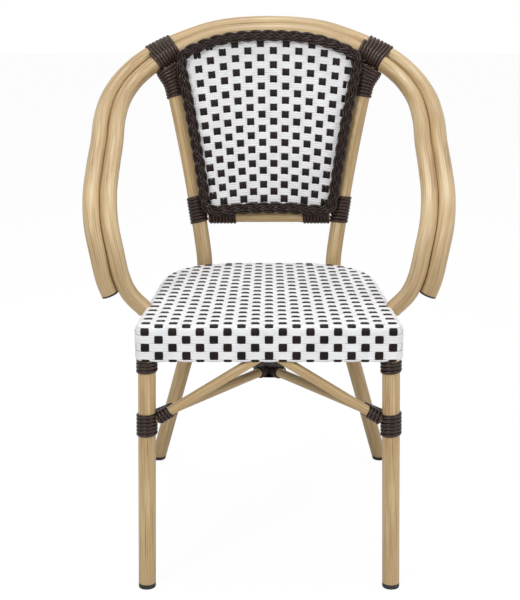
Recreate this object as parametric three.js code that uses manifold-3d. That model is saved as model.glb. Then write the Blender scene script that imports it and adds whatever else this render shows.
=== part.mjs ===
// A woven bistro armchair: a bent tube frame with a double hoop back and arms, a woven seat,
// a woven back panel with a braided edge, cross bracing, and strand lashings at the joints.
// Millimetres. Seen from the front, X runs to the right, Y away to the back and Z up, and the
// names left and right are as seen from there. The front legs' feet are laid out at Y = 0.
import * as THREE from 'three';
import { mergeVertices } from 'three/addons/utils/BufferGeometryUtils.js';
import Module from 'manifold-3d';

const wasm = await Module();
wasm.setup();

// Clearances and cutting
const touchGap = 0.3;
const overrun = 30;

// Frame tubes
const tubeDiameter = 28.6;
const tubeWall = 1.5;
const crossRailDiameter = 22;
const crossRailWall = 1.3;
const braceDiameter = 16;
const braceWall = 1.2;
const tubeSides = 12;
const boreSides = 6;
const tubeRadius = tubeDiameter / 2;
const crossRailRadius = crossRailDiameter / 2;
const braceRadius = braceDiameter / 2;

// Lashing strand, a flat strip laid side by side in turns
const strandWidth = 5.4;
const strandThickness = 2.4;
const strandPitch = 6.2;
const roundLoopSteps = 8;
const pairLoopSteps = 12;
const pairEase = 0.9;
const pairTurnShare = 1 / 3;

// Woven seat
const seatHeight = 459;
const seatFrontWidth = 425;
const seatTaper = 16.5;
const seatMidWidth = seatFrontWidth - 2 * seatTaper;
const seatMidFromFront = 250;
const seatDepth = 441;
const seatRearFlat = 120;
const seatDrop = 5;
const apronHeight = 61;
const seatCornerRadius = 18;
const seatShoulderRadius = 12;
const seatShoulderSteps = 3;
const weaveThickness = 2.4;
const seatFrontOverhang = 20;
const rearCornerShares = [[0.985, 0.53], [0.91, 0.94]];
const frontCornerSteps = 3;
const rearCornerSteps = 7;

// Seat frame hidden in the weave
const railDiameter = 22;
const railWall = 1.3;
const railSides = 10;
const railRadius = railDiameter / 2;
const lowerRailRise = 3;
const crossBarFromFront = [150, 290];

// Legs
const frontLegTop = seatHeight - seatShoulderRadius - weaveThickness;
const frontLegClearance = 2.5;
const frontLegInset = weaveThickness + touchGap + tubeRadius + frontLegClearance;
const frontTopSpread = seatFrontWidth - 2 * frontLegInset;
const frontSplay = 10.2;
const frontFootSpread = frontTopSpread + 2 * frontSplay;
const seatRear = seatDepth - seatFrontOverhang;
const rearFootSpread = 459;
const rearFootBehindSeat = 145;
const rearFootFromFront = seatRear + rearFootBehindSeat;
const waistSpread = 232;
const waistDrop = 38;
const waistHeight = seatHeight - waistDrop;
const bowSpread = 294;
const bowRise = 189;
const bowHeight = seatHeight + bowRise;
const bowSteps = 4;
const waistBendRadius = 180;
const waistBendSteps = 5;
const glideHeight = 8;
const glideStem = 20;

// Double hoop of the back and arms
const armOutreach = 56.5;
const hoopWidth = seatFrontWidth + 2 * armOutreach;
const hoopTopHeight = 875;
const hoopTopBehindSeat = 87;
const hoopTopFromFront = seatRear + hoopTopBehindSeat;
const armFrontFromFront = 100;
const armEndRise = 6;
const armEndOutreach = 8.5;
const armEndShare = (seatMidWidth / 2 + armEndOutreach) / (hoopWidth / 2);
const hoopPathShares = [
  [0, 1, 1],
  [0.337, 0.995, 0.984],
  [0.536, 0.981, 0.944],
  [0.734, 0.953, 0.883],
  [0.891, 0.902, 0.809],
  [0.974, 0.797, 0.741],
  [1, 0.625, 0.668],
  [0.993, 0.449, 0.588],
  [0.993, 0.282, 0.511],
  [0.989, 0.135, 0.428],
  [0.97, 0.044, 0.338],
  [0.936, 0.007, 0.239],
  [0.899, 0, 0.13],
  [0.852, 0.002, 0.064],
  [armEndShare, 0.01, 0],
];
const hoopHalfSteps = 28;
const outerHoopHalfSteps = 25;
const pairLift = THREE.MathUtils.degToRad(24);
const pairBesideShare = 0.4286;
const plugRim = 3;
const plugStem = 16;

// Back panel between the uprights
const crossRailRise = 78;
const crossRailHeight = seatHeight + crossRailRise;
const panelSideGap = 1;
const panelSettle = 1.95;
const panelRodRise = 5;
const panelRodDiameter = 10;
const panelWeaveThickness = 5;
const braidWidth = 20;
const braidThickness = 6;
const braidBevel = 2;
const panelCornerRadius = 24;
const panelCornerShare = 0.1714;
const panelTopReach = 3;
const panelTopSteps = 8;
const panelCornerSteps = 4;
const panelShoulderShare = 0.4;
const panelRodBevel = panelRodDiameter / 4;
const panelRodInset = (braidWidth - panelRodDiameter) / 2;

// Braces and stretchers
const stretcherDrop = 164;
const stretcherHeight = seatHeight - stretcherDrop;
const braceFootDrop = 9;
const braceFootHeight = stretcherHeight - braceFootDrop;

// Lashings, as turns and as places along what carries them
const legTopTurns = 3;
const legBraceLashing = { turns: 6, drop: 16 };
const braceEndTurns = 2;
const stretcherEndTurns = 7;
const crossingTurns = 7;
const uprightLowLashing = { turns: 8, drop: 11 };
const uprightTopTurns = 8;
const crossRailTurns = 7;
const hoopLashing = { turns: 7, pitch: 6.6, middleShare: 0.2036 };

const looks = {
  cane: { color: 0xc9a878, roughness: 0.5, metalness: 0.1 },
  bare: { color: 0xb9bbbd, roughness: 0.4, metalness: 0.9 },
  glide: { color: 0x17181a, roughness: 0.6, metalness: 0 },
  strand: { color: 0x2b211f, roughness: 0.35, metalness: 0 },
  weave: { color: 0xf2f2f0, roughness: 0.45, metalness: 0 },
};

const chair = new THREE.Group();

// A closed geometry becomes a solid that can be joined and cut.
function solidOf(geometry) {
  geometry.deleteAttribute('normal');
  geometry.deleteAttribute('uv');
  const merged = mergeVertices(geometry);
  return new wasm.Manifold(new wasm.Mesh({
    numProp: 3,
    vertProperties: new Float32Array(merged.attributes.position.array),
    triVerts: new Uint32Array(merged.index.array),
  }));
}

function geometryOf(solid) {
  const { vertProperties, triVerts } = solid.getMesh();
  const geometry = new THREE.BufferGeometry();
  geometry.setAttribute('position', new THREE.BufferAttribute(vertProperties, 3));
  geometry.setIndex(new THREE.BufferAttribute(triVerts, 1));
  geometry.computeVertexNormals();
  return geometry;
}

function addPiece(name, geometry, look, parent = chair) {
  const mesh = new THREE.Mesh(geometry, new THREE.MeshStandardMaterial(looks[look]));
  mesh.name = name;
  parent.add(mesh);
  return mesh;
}

function sideName(side) {
  return side < 0 ? 'left' : 'right';
}

// A route is a run of points with one swept step between neighbours.
class Route extends THREE.Curve {
  constructor(points) {
    super();
    this.points = points;
  }

  getPoint(share) {
    const last = this.points.length - 1;
    const at = Math.min(share * last, last);
    const index = Math.min(Math.floor(at), last - 1);
    return this.points[index].clone().lerp(this.points[index + 1], at - index);
  }

  getPointAt(share) {
    return this.getPoint(share);
  }

  getTangentAt(share) {
    const last = this.points.length - 1;
    const index = Math.round(share * last);
    const before = this.points[Math.max(index - 1, 0)];
    const after = this.points[Math.min(index + 1, last)];
    return after.clone().sub(before).normalize();
  }
}

function circlePoints(radius, sides) {
  const points = [];
  for (let i = 0; i < sides; i += 1) {
    const angle = (2 * Math.PI * i) / sides;
    points.push(new THREE.Vector2(radius * Math.cos(angle), radius * Math.sin(angle)));
  }
  return points;
}

function sweep(points, radius, sides, boreRadius = 0) {
  const section = new THREE.Shape(circlePoints(radius, sides));
  if (boreRadius > 0) {
    section.holes.push(new THREE.Path(circlePoints(boreRadius, boreSides).reverse()));
  }
  return new THREE.ExtrudeGeometry(section, {
    steps: points.length - 1,
    extrudePath: new Route(points),
  });
}

function rod(points, radius, sides = tubeSides) {
  return solidOf(sweep(points, radius, sides));
}

function tube(points, radius, wall, sides = tubeSides) {
  return solidOf(sweep(points, radius, sides, radius - wall));
}

function boxSolid(low, high) {
  const size = high.clone().sub(low);
  const box = new THREE.BoxGeometry(size.x, size.y, size.z);
  const middle = low.clone().add(high).divideScalar(2);
  box.translate(middle.x, middle.y, middle.z);
  return solidOf(box);
}

// The part of a leg's solid between two heights.
function between(solid, lowHeight, highHeight) {
  const reach = rearFootFromFront + hoopWidth;
  const low = new THREE.Vector3(-reach, -reach, lowHeight);
  const high = new THREE.Vector3(reach, reach, highHeight);
  return solid.intersect(boxSolid(low, high));
}

// Where a straight line between two points has the given height.
function atHeight(low, high, height) {
  const share = (height - low.z) / (high.z - low.z);
  return low.clone().lerp(high, share);
}

// A corner of a route rounded to a bend radius.
function bendPoints(before, corner, after, radius, steps) {
  const back = before.clone().sub(corner).normalize();
  const on = after.clone().sub(corner).normalize();
  const half = (Math.PI - back.angleTo(on)) / 2;
  const reach = radius * Math.tan(half);
  const start = corner.clone().addScaledVector(back, reach);
  const end = corner.clone().addScaledVector(on, reach);
  return new THREE.QuadraticBezierCurve3(start, corner, end).getPoints(steps);
}

function seatTopAt(y) {
  return seatHeight - (seatDrop * (y + seatFrontOverhang)) / seatDepth;
}

function seatBottomAt(y) {
  return seatTopAt(y) - apronHeight;
}

// Half of the seat's plan outline, from the middle of the front to the middle of the rear.
function seatHalfOutline() {
  const front = -seatFrontOverhang;
  const rear = seatRear;
  const mid = seatMidFromFront - seatFrontOverhang;
  const side = seatFrontWidth / 2;
  const cornerStart = new THREE.Vector2(side - seatCornerRadius, front);
  const cornerEnd = new THREE.Vector2(side, front + seatCornerRadius);
  const corner = new THREE.QuadraticBezierCurve(cornerStart, new THREE.Vector2(side, front), cornerEnd);
  const [first, second] = rearCornerShares.map(([widthShare, depthShare]) => (
    new THREE.Vector2((widthShare * seatMidWidth) / 2, mid + (rear - mid) * depthShare)
  ));
  const sideEnd = new THREE.Vector2(seatMidWidth / 2, mid);
  const rearStart = new THREE.Vector2(seatRearFlat / 2, rear);
  const rearCurve = new THREE.CubicBezierCurve(sideEnd, first, second, rearStart);
  return [
    new THREE.Vector2(0, front),
    ...corner.getPoints(frontCornerSteps),
    ...rearCurve.getPoints(rearCornerSteps),
    new THREE.Vector2(0, rear),
  ];
}

// The same outline moved inwards, square to its edge.
function seatInset(inset) {
  const half = seatHalfOutline();
  return half.map((point, index) => {
    const before = half[Math.max(index - 1, 0)];
    const after = half[Math.min(index + 1, half.length - 1)];
    const along = after.clone().sub(before).normalize();
    return new THREE.Vector2(point.x - along.y * inset, point.y + along.x * inset);
  });
}

function seatShape(inset) {
  const half = seatInset(inset);
  const other = half.slice(1, -1).reverse().map((point) => new THREE.Vector2(-point.x, point.y));
  return new THREE.Shape([...half, ...other]);
}

// Seat block with rounded shoulders, sloped down to the rear, from its top down past its bottom.
function seatBlock(inset, topLevel, bottomLevel) {
  const shoulder = seatShoulderRadius - inset;
  const geometry = new THREE.ExtrudeGeometry(seatShape(inset), {
    depth: topLevel - bottomLevel,
    bevelThickness: shoulder,
    bevelSize: shoulder,
    bevelOffset: -shoulder,
    bevelSegments: seatShoulderSteps,
  });
  geometry.translate(0, 0, bottomLevel - shoulder);
  const slope = -seatDrop / seatDepth;
  geometry.applyMatrix4(new THREE.Matrix4().makeShear(0, 0, 0, slope, 0, 0));
  geometry.translate(0, 0, seatFrontOverhang * slope);
  return solidOf(geometry);
}

function frontLegAxis(side) {
  const foot = new THREE.Vector3((side * frontFootSpread) / 2, 0, 0);
  const top = new THREE.Vector3((side * frontTopSpread) / 2, 0, seatHeight);
  return [foot, top];
}

// Where a tube at the uprights' spread stands just clear of the rear of the seat.
function tubeBehindSeat() {
  const outside = seatInset(-tubeRadius - 2 * touchGap);
  const last = outside.findLastIndex((point) => point.x > waistSpread / 2);
  const share = (outside[last].x - waistSpread / 2) / (outside[last].x - outside[last + 1].x);
  return outside[last].clone().lerp(outside[last + 1], share).y;
}

// The upright's foot, the corner of its bend at the waist, and where its axis meets the hoop.
function uprightCorners(side) {
  const foot = new THREE.Vector3((side * rearFootSpread) / 2, rearFootFromFront, 0);
  const waistFromFront = tubeBehindSeat();
  const waist = new THREE.Vector3((side * waistSpread) / 2, waistFromFront, waistHeight);
  const top = hoopPoint(side * hoopLashing.middleShare);
  return [foot, waist, top];
}

// The upright bends at the waist, then bows outwards a little on its way up.
function uprightRoute(side) {
  const [foot, waist, top] = uprightCorners(side);
  const bow = atHeight(waist, top, bowHeight).setX((side * bowSpread) / 2);
  const below = foot.clone().addScaledVector(foot.clone().sub(waist).normalize(), overrun);
  const bend = bendPoints(foot, waist, bow, waistBendRadius, waistBendSteps);
  const upper = new THREE.QuadraticBezierCurve3(bend[bend.length - 1], bow, top);
  return [below, ...bend, ...upper.getPoints(bowSteps).slice(1)];
}

// The upright's axis at a height.
function uprightPoint(side, height) {
  const route = uprightRoute(side);
  const above = route.findIndex((point) => point.z >= height);
  return atHeight(route[above - 1], route[above], height);
}

function upperRailHeight(y) {
  return seatTopAt(y) - weaveThickness - touchGap - railRadius;
}

function lowerRailHeight(y) {
  return seatBottomAt(y) + lowerRailRise + railRadius;
}

// Rail around the sides and rear, from one front leg to the other.
function rearRailRoute(heightAt) {
  const half = seatInset(weaveThickness + touchGap + railRadius);
  const sideRun = half.filter((point) => point.y > seatCornerRadius);
  const right = sideRun.map((point) => new THREE.Vector3(point.x, point.y, heightAt(point.y)));
  right.pop();
  const flare = (seatFrontWidth - seatMidWidth) / 2 / seatMidFromFront;
  right.unshift(new THREE.Vector3(right[0].x + flare * right[0].y, 0, heightAt(0)));
  const left = right.map((point) => new THREE.Vector3(-point.x, point.y, point.z)).reverse();
  return [...right, ...left];
}

function frontRailRoute(heightAt) {
  const y = -seatFrontOverhang + weaveThickness + touchGap + railRadius;
  const half = frontTopSpread / 2;
  return [new THREE.Vector3(-half, y, heightAt(y)), new THREE.Vector3(half, y, heightAt(y))];
}

// The inner tube of the hoop, from the end of one arm over the top to the end of the other.
function hoopKeyPoints() {
  const half = hoopWidth / 2;
  const armEnd = upperRailHeight(armFrontFromFront) + armEndRise;
  const depth = hoopTopFromFront - armFrontFromFront;
  const rise = hoopTopHeight - armEnd;
  const right = hoopPathShares.map(([xShare, yShare, zShare]) => new THREE.Vector3(
    half * xShare,
    armFrontFromFront + depth * yShare,
    armEnd + rise * zShare,
  ));
  const left = right.slice(1).reverse().map((point) => (
    new THREE.Vector3(-point.x, point.y, point.z)
  ));
  return [...left, ...right];
}

const hoopCurve = new THREE.CatmullRomCurve3(hoopKeyPoints());
const pairDistance = tubeDiameter + touchGap;

// Places on the hoop are shares of its half, from 0 at its top to 1 at the right arm's end and
// -1 at the left one's.
function hoopPoint(share) {
  return hoopCurve.getPoint((1 + share) / 2);
}

function hoopTangent(share) {
  return hoopCurve.getTangent((1 + share) / 2);
}

// The outer tube lies behind and above the inner one at the top and beside it along the arms.
function pairDirection(share) {
  const along = hoopTangent(share);
  const behind = new THREE.Vector3(0, Math.cos(pairLift), Math.sin(pairLift));
  const outboard = new THREE.Vector3(Math.sign(share), 0, 0);
  const blend = THREE.MathUtils.smoothstep(Math.abs(share), 0, pairBesideShare);
  const wanted = behind.lerp(outboard, blend);
  return wanted.addScaledVector(along, -wanted.dot(along)).normalize();
}

// The shares of a hoop tube's points, from one end to the other.
function hoopShares(halfSteps) {
  return Array.from({ length: 2 * halfSteps + 1 }, (_, index) => (
    (index - halfSteps) / hoopHalfSteps
  ));
}

// A point between the two tubes, on the straight runs that their sweeps make.
function pairMiddle(share) {
  const step = Math.floor(share * hoopHalfSteps);
  const ends = [step, step + 1].map((at) => (
    hoopPoint(at / hoopHalfSteps)
      .addScaledVector(pairDirection(at / hoopHalfSteps), pairDistance / 2)
  ));
  return ends[0].lerp(ends[1], share * hoopHalfSteps - step);
}

function innerHoopRoute() {
  return hoopShares(hoopHalfSteps).map(hoopPoint);
}

function outerHoopRoute() {
  return hoopShares(outerHoopHalfSteps).map((share) => (
    hoopPoint(share).addScaledVector(pairDirection(share), pairDistance)
  ));
}

// A lashing: a flat strand wound in turns about a centre line, one unbroken solid that starts
// and ends behind what it binds. The frame at a share of its length gives a centre, an axis, two
// directions square to it and the size of a loop.
function lashing(name, turns, loopSteps, frameAt) {
  const count = turns * loopSteps;
  const centres = [];
  for (let i = 0; i <= count; i += 1) {
    const frame = frameAt(i / count);
    const angle = Math.PI / 2 + (2 * Math.PI * (i + 0.5)) / loopSteps;
    centres.push(loopPoint(frame, angle));
  }
  const first = centres[0].clone().sub(centres[1]).setLength(strandWidth);
  const last = centres[count].clone().sub(centres[count - 1]).setLength(strandWidth);
  centres.unshift(centres[0].clone().add(first));
  centres.push(centres[count + 1].clone().add(last));
  const rings = centres.map((centre, index) => {
    const share = THREE.MathUtils.clamp((index - 1) / count, 0, 1);
    const along = frameAt(share).axis;
    const before = centres[Math.max(index - 1, 0)];
    const after = centres[Math.min(index + 1, centres.length - 1)];
    const run = after.clone().sub(before).normalize();
    const outward = run.clone().cross(along).normalize();
    const across = outward.clone().cross(run).normalize();
    return ringAt(centre, outward, across);
  });
  console.log(`${name}: least gap to itself ${leastGap(centres, loopSteps).toFixed(2)} mm`);
  return solidOf(ringGeometry(rings));
}

// A loop is round, or runs around two tubes side by side when the frame has a half spread.
function loopPoint(frame, angle) {
  const spread = frame.spread ?? 0;
  const turn = THREE.MathUtils.clamp(Math.cos(angle) / pairTurnShare, -1, 1);
  const x = frame.radius * Math.cos(angle) + spread * turn;
  const y = frame.radius * Math.sin(angle);
  return frame.centre.clone().addScaledVector(frame.wide, x).addScaledVector(frame.high, y);
}

function ringAt(centre, outward, across) {
  const corners = [[-1, -1], [1, -1], [1, 1], [-1, 1]];
  return corners.map(([u, v]) => centre.clone()
    .addScaledVector(outward, (u * strandThickness) / 2)
    .addScaledVector(across, (v * strandWidth) / 2));
}

function ringGeometry(rings) {
  const sides = rings[0].length;
  const positions = rings.flat().flatMap((point) => point.toArray());
  const index = [];
  for (let i = 0; i + 1 < rings.length; i += 1) {
    for (let j = 0; j < sides; j += 1) {
      const a = i * sides + j;
      const b = i * sides + ((j + 1) % sides);
      index.push(a, a + sides, b, b, a + sides, b + sides);
    }
  }
  const end = (rings.length - 1) * sides;
  for (let j = 1; j + 1 < sides; j += 1) {
    index.push(0, j, j + 1);
    index.push(end, end + j + 1, end + j);
  }
  const geometry = new THREE.BufferGeometry();
  geometry.setAttribute('position', new THREE.Float32BufferAttribute(positions, 3));
  geometry.setIndex(index);
  return geometry;
}

// Least distance between stretches of neighbouring turns, less the width of the strand.
function leastGap(centres, loopSteps) {
  let least = Infinity;
  const far = Math.ceil(loopSteps / 2);
  for (let i = 0; i < centres.length; i += 1) {
    for (let j = i + far; j < centres.length; j += 1) {
      least = Math.min(least, centres[i].distanceTo(centres[j]));
    }
  }
  return least - strandWidth;
}

function loopRadius(carrierRadius, loopSteps) {
  const clear = carrierRadius + touchGap + strandThickness / 2;
  return clear / Math.cos(Math.PI / loopSteps);
}

// Lashing along a tube, whose axis is given at a distance from where the turns start.
function tubeLashing(name, axisAt, carrierRadius, turns) {
  const length = turns * strandPitch;
  const axis = axisAt(length).sub(axisAt(0)).normalize();
  const wide = new THREE.Vector3(0, 1, 0).cross(axis).normalize();
  const high = axis.clone().cross(wide);
  const radius = loopRadius(carrierRadius, roundLoopSteps);
  const solid = lashing(name, turns, roundLoopSteps, (share) => (
    { centre: axisAt(share * length), axis, wide, high, radius }
  ));
  addPiece(name, geometryOf(solid), 'strand');
}

// The axis of a straight tube, from a start point in a unit direction.
function straightAxis(start, direction) {
  return (distance) => start.clone().addScaledVector(direction, distance);
}

// The axis of an upright, from a height up.
function uprightAxis(side, startHeight) {
  const start = uprightPoint(side, startHeight);
  const lean = uprightPoint(side, startHeight + strandWidth).sub(start);
  const rise = Math.cos(lean.angleTo(new THREE.Vector3(0, 0, 1)));
  return (distance) => uprightPoint(side, startHeight + distance * rise);
}

// How far a lashed tube reaches from its axis, with the gap that a neighbour keeps.
function lashedReach(carrierRadius, loopSteps = roundLoopSteps) {
  const corner = loopRadius(carrierRadius, loopSteps) + strandThickness / 2;
  return (corner + touchGap) / Math.cos(Math.PI / tubeSides);
}

// What a tube keeps clear around itself, to be cut from its neighbours.
function fatRoute(points, radius, clearance, sides = tubeSides) {
  return rod(points, radius + clearance, sides);
}

// Legs, glides and front lashings
function frontLegs() {
  for (const side of [-1, 1]) {
    const [foot, top] = frontLegAxis(side);
    const below = atHeight(foot, top, -overrun);
    const above = atHeight(foot, top, seatHeight + overrun);
    const whole = tube([below, above], tubeRadius, tubeWall);
    const standing = between(whole, glideHeight, frontLegTop);
    addPiece(`front_leg_${sideName(side)}`, geometryOf(standing), 'cane');
    glide(`front_glide_${sideName(side)}`, [below, above]);
  }
}

// A glide has a foot as wide as its tube and a stem that plugs the tube's bore.
function glide(name, axis) {
  const foot = between(rod(axis, tubeRadius), 0, glideHeight - touchGap);
  const stemRadius = (tubeRadius - tubeWall) * Math.cos(Math.PI / boreSides) - touchGap;
  const stem = between(rod(axis, stemRadius), glideHeight / 2, glideHeight + glideStem);
  addPiece(name, geometryOf(foot.add(stem)), 'glide');
}

function uprights() {
  const hoop = rod(innerHoopRoute(), lashedReach(tubeRadius + pairEase, pairLoopSteps));
  for (const side of [-1, 1]) {
    const route = uprightRoute(side);
    const whole = tube(route, tubeRadius, tubeWall);
    const standing = between(whole, glideHeight, hoopTopHeight).subtract(hoop);
    addPiece(`rear_upright_${sideName(side)}`, geometryOf(largest(standing)), 'cane');
    glide(`rear_glide_${sideName(side)}`, route.slice(0, 2));
  }
}

// The largest body of a solid that a cut has parted.
function largest(solid) {
  const bodies = solid.decompose();
  return bodies.reduce((best, body) => (body.volume() > best.volume() ? body : best));
}

function hoops() {
  const rail = fatRoute(rearRailRoute(upperRailHeight), railRadius, touchGap, railSides);
  const inner = tube(innerHoopRoute(), tubeRadius, tubeWall).subtract(rail);
  addPiece('inner_hoop', geometryOf(largest(inner)), 'cane');
  const outerRoute = outerHoopRoute();
  addPiece('outer_hoop', geometryOf(tube(outerRoute, tubeRadius, tubeWall)), 'cane');
  for (const side of [-1, 1]) {
    const ordered = side > 0 ? [...outerRoute].reverse() : outerRoute;
    armPlug(`arm_plug_${sideName(side)}`, ordered[0], ordered[1]);
  }
}

function armPlug(name, end, inside) {
  const inward = inside.clone().sub(end).normalize();
  const face = end.clone().addScaledVector(inward, -touchGap);
  const outer = face.clone().addScaledVector(inward, -plugRim);
  const rim = rod([outer, face], tubeRadius);
  const stemRadius = (tubeRadius - tubeWall) * Math.cos(Math.PI / boreSides) - 2 * touchGap;
  const middle = outer.clone().lerp(face, 0.5);
  const stem = rod([middle, face.clone().addScaledVector(inward, plugStem)], stemRadius);
  addPiece(name, geometryOf(rim.add(stem)), 'glide');
}

function seatRails() {
  const legs = [-1, 1].map((side) => {
    const [foot, top] = frontLegAxis(side);
    return fatRoute([foot, atHeight(foot, top, seatHeight + overrun)], tubeRadius, touchGap);
  });
  const levels = { upper: upperRailHeight, lower: lowerRailHeight };
  for (const [level, heightAt] of Object.entries(levels)) {
    const front = tube(frontRailRoute(heightAt), railRadius, railWall, railSides);
    const rear = tube(rearRailRoute(heightAt), railRadius, railWall, railSides);
    const frontCut = largest(legs.reduce((solid, leg) => solid.subtract(leg), front));
    const rearCut = largest(legs.reduce((solid, leg) => solid.subtract(leg), rear));
    addPiece(`seat_front_rail_${level}`, geometryOf(frontCut), 'bare');
    addPiece(`seat_rear_rail_${level}`, geometryOf(rearCut), 'bare');
  }
}

function seatCrossBars() {
  const rail = fatRoute(rearRailRoute(upperRailHeight), railRadius, touchGap, railSides);
  crossBarFromFront.forEach((fromFront, index) => {
    const y = fromFront - seatFrontOverhang;
    const height = upperRailHeight(y);
    const half = seatMidWidth / 2 - railRadius;
    const ends = [-half, half].map((x) => new THREE.Vector3(x, y, height));
    const bar = tube(ends, braceRadius, braceWall).subtract(rail);
    addPiece(`seat_cross_bar_${index + 1}`, geometryOf(largest(bar)), 'bare');
  });
}

function seatWeave() {
  const outer = seatBlock(0, seatHeight, seatHeight - apronHeight - overrun);
  const innerTop = seatHeight - weaveThickness;
  const inner = seatBlock(weaveThickness, innerTop, seatHeight - apronHeight - 2 * overrun);
  const slope = seatDrop / seatDepth;
  const under = new THREE.BoxGeometry(2 * seatFrontWidth, 2 * seatDepth, 2 * overrun);
  under.translate(0, 0, seatHeight - apronHeight - overrun);
  under.applyMatrix4(new THREE.Matrix4().makeShear(0, 0, 0, -slope, 0, 0));
  under.translate(0, 0, -seatFrontOverhang * slope);
  const arms = fatRoute(innerHoopRoute(), tubeRadius, 2 * touchGap);
  const shell = outer.subtract(inner).subtract(solidOf(under)).subtract(arms);
  addPiece('seat_weave', geometryOf(largest(shell)), 'weave');
}

// The back panel is laid out flat, then stood up along the uprights. Its rod rests on the
// lashings of the cross rail, settled a little behind their fronts.
function panelRake() {
  const [, waist, top] = uprightCorners(1);
  return Math.atan2(top.y - waist.y, top.z - waist.z);
}

function crossRailPoint(side) {
  return uprightPoint(side, crossRailHeight);
}

// Half width of the panel's outer edge at a height along the panel.
function panelHalfWidth(rise) {
  const height = crossRailHeight + rise * Math.cos(panelRake());
  return uprightPoint(1, height).x - tubeRadius - panelSideGap;
}

// Outline of the panel, its edge moved in by an inset, around from its lower right corner.
function panelOutline(inset) {
  const right = [];
  const top = [];
  for (let i = 0; i <= panelTopSteps; i += 1) {
    const point = hoopPoint(panelCornerShare * (1 - (2 * i) / panelTopSteps));
    const rise = (point.z - crossRailHeight) / Math.cos(panelRake()) + panelTopReach;
    top.push(new THREE.Vector2(point.x, rise - inset));
  }
  const upper = top[0];
  const cornerRise = panelRodRise - panelRodInset + panelCornerRadius;
  const cornerOut = panelHalfWidth(cornerRise) - panelCornerRadius;
  for (let i = 0; i <= panelCornerSteps; i += 1) {
    const angle = (Math.PI / 2) * (i / panelCornerSteps - 1);
    const radius = panelCornerRadius - inset;
    right.push(new THREE.Vector2(
      cornerOut + radius * Math.cos(angle),
      cornerRise + radius * Math.sin(angle),
    ));
  }
  const shoulder = upper.y - panelCornerRadius + inset * panelShoulderShare;
  right.push(new THREE.Vector2(panelHalfWidth(shoulder) - inset, shoulder));
  const arch = top.map((point) => {
    const share = point.x / upper.x;
    return new THREE.Vector2(point.x - inset * share, point.y);
  });
  const left = right.map((point) => new THREE.Vector2(-point.x, point.y)).reverse();
  return [...right, ...arch, ...left];
}

function panelSlab(outer, innerHole, thickness, bevel, front) {
  const shape = new THREE.Shape(outer);
  if (innerHole) shape.holes.push(new THREE.Path([...innerHole].reverse()));
  const geometry = new THREE.ExtrudeGeometry(shape, {
    depth: thickness - 2 * bevel,
    bevelEnabled: bevel > 0,
    bevelThickness: bevel,
    bevelSize: bevel,
    bevelOffset: -bevel,
    bevelSegments: 1,
  });
  geometry.translate(0, 0, front - thickness + bevel);
  return geometryOf(solidOf(geometry));
}

function backPanel() {
  const panel = new THREE.Group();
  panel.position.copy(crossRailPoint(1)).setX(0);
  panel.rotation.x = Math.PI / 2 - panelRake();
  chair.add(panel);
  const rodBack = crossRailRadius + touchGap + strandThickness - panelSettle;
  const rodFront = rodBack + panelRodDiameter;
  const rodInner = panelRodInset + panelRodDiameter;
  const ring = panelSlab(
    panelOutline(panelRodInset), panelOutline(rodInner), panelRodDiameter, panelRodBevel, rodFront,
  );
  addPiece('back_frame_rod', ring, 'bare', panel);
  const weaveFront = (rodFront + rodBack + panelWeaveThickness) / 2;
  const weave = panelSlab(
    panelOutline(rodInner + touchGap), null, panelWeaveThickness, 0, weaveFront,
  );
  addPiece('back_weave', weave, 'weave', panel);
  const braid = panelSlab(
    panelOutline(0), panelOutline(braidWidth), braidThickness, braidBevel,
    rodFront + touchGap + braidThickness,
  );
  addPiece('back_braid', braid, 'strand', panel);
}

function crossRail() {
  const ends = [crossRailPoint(-1), crossRailPoint(1)];
  let rail = tube(ends, crossRailRadius, crossRailWall);
  for (const side of [-1, 1]) {
    rail = rail.subtract(rod(uprightRoute(side), lashedReach(tubeRadius)));
  }
  addPiece('back_cross_rail', geometryOf(largest(rail)), 'cane');
}

function legPoint(side, height) {
  const [foot, top] = frontLegAxis(side);
  return atHeight(foot, top, height);
}

function lashedLeg(side) {
  return rod(frontLegAxis(side), lashedReach(tubeRadius));
}

// Braces rise in the plane of the front legs and meet under the middle of the front rail.
function frontBraces() {
  const [railEnd] = frontRailRoute(lowerRailHeight);
  const rail = fatRoute(frontRailRoute(lowerRailHeight), railRadius, touchGap, railSides);
  const meeting = new THREE.Vector3(0, railEnd.y, railEnd.z);
  for (const side of [-1, 1]) {
    const foot = legPoint(side, braceFootHeight);
    const reach = side * (seatFrontWidth / 2);
    const low = new THREE.Vector3(Math.min(side * touchGap / 2, reach), -overrun, 0);
    const high = new THREE.Vector3(Math.max(side * touchGap / 2, reach), overrun, seatHeight);
    const brace = tube([foot, meeting], braceRadius, braceWall)
      .intersect(boxSolid(low, high))
      .subtract(rail)
      .subtract(lashedLeg(side));
    addPiece(`front_brace_${sideName(side)}`, geometryOf(largest(brace)), 'cane');
    const direction = meeting.clone().sub(foot).normalize();
    const flat = Math.hypot(direction.x, direction.y);
    const fromLeg = lashedReach(tubeRadius) + strandWidth / 2;
    const clear = (fromLeg + lashedReach(braceRadius) * direction.z) / flat;
    const start = foot.clone().addScaledVector(direction, clear);
    const name = `brace_lashing_${sideName(side)}`;
    tubeLashing(name, straightAxis(start, direction), braceRadius, braceEndTurns);
  }
}

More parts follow.
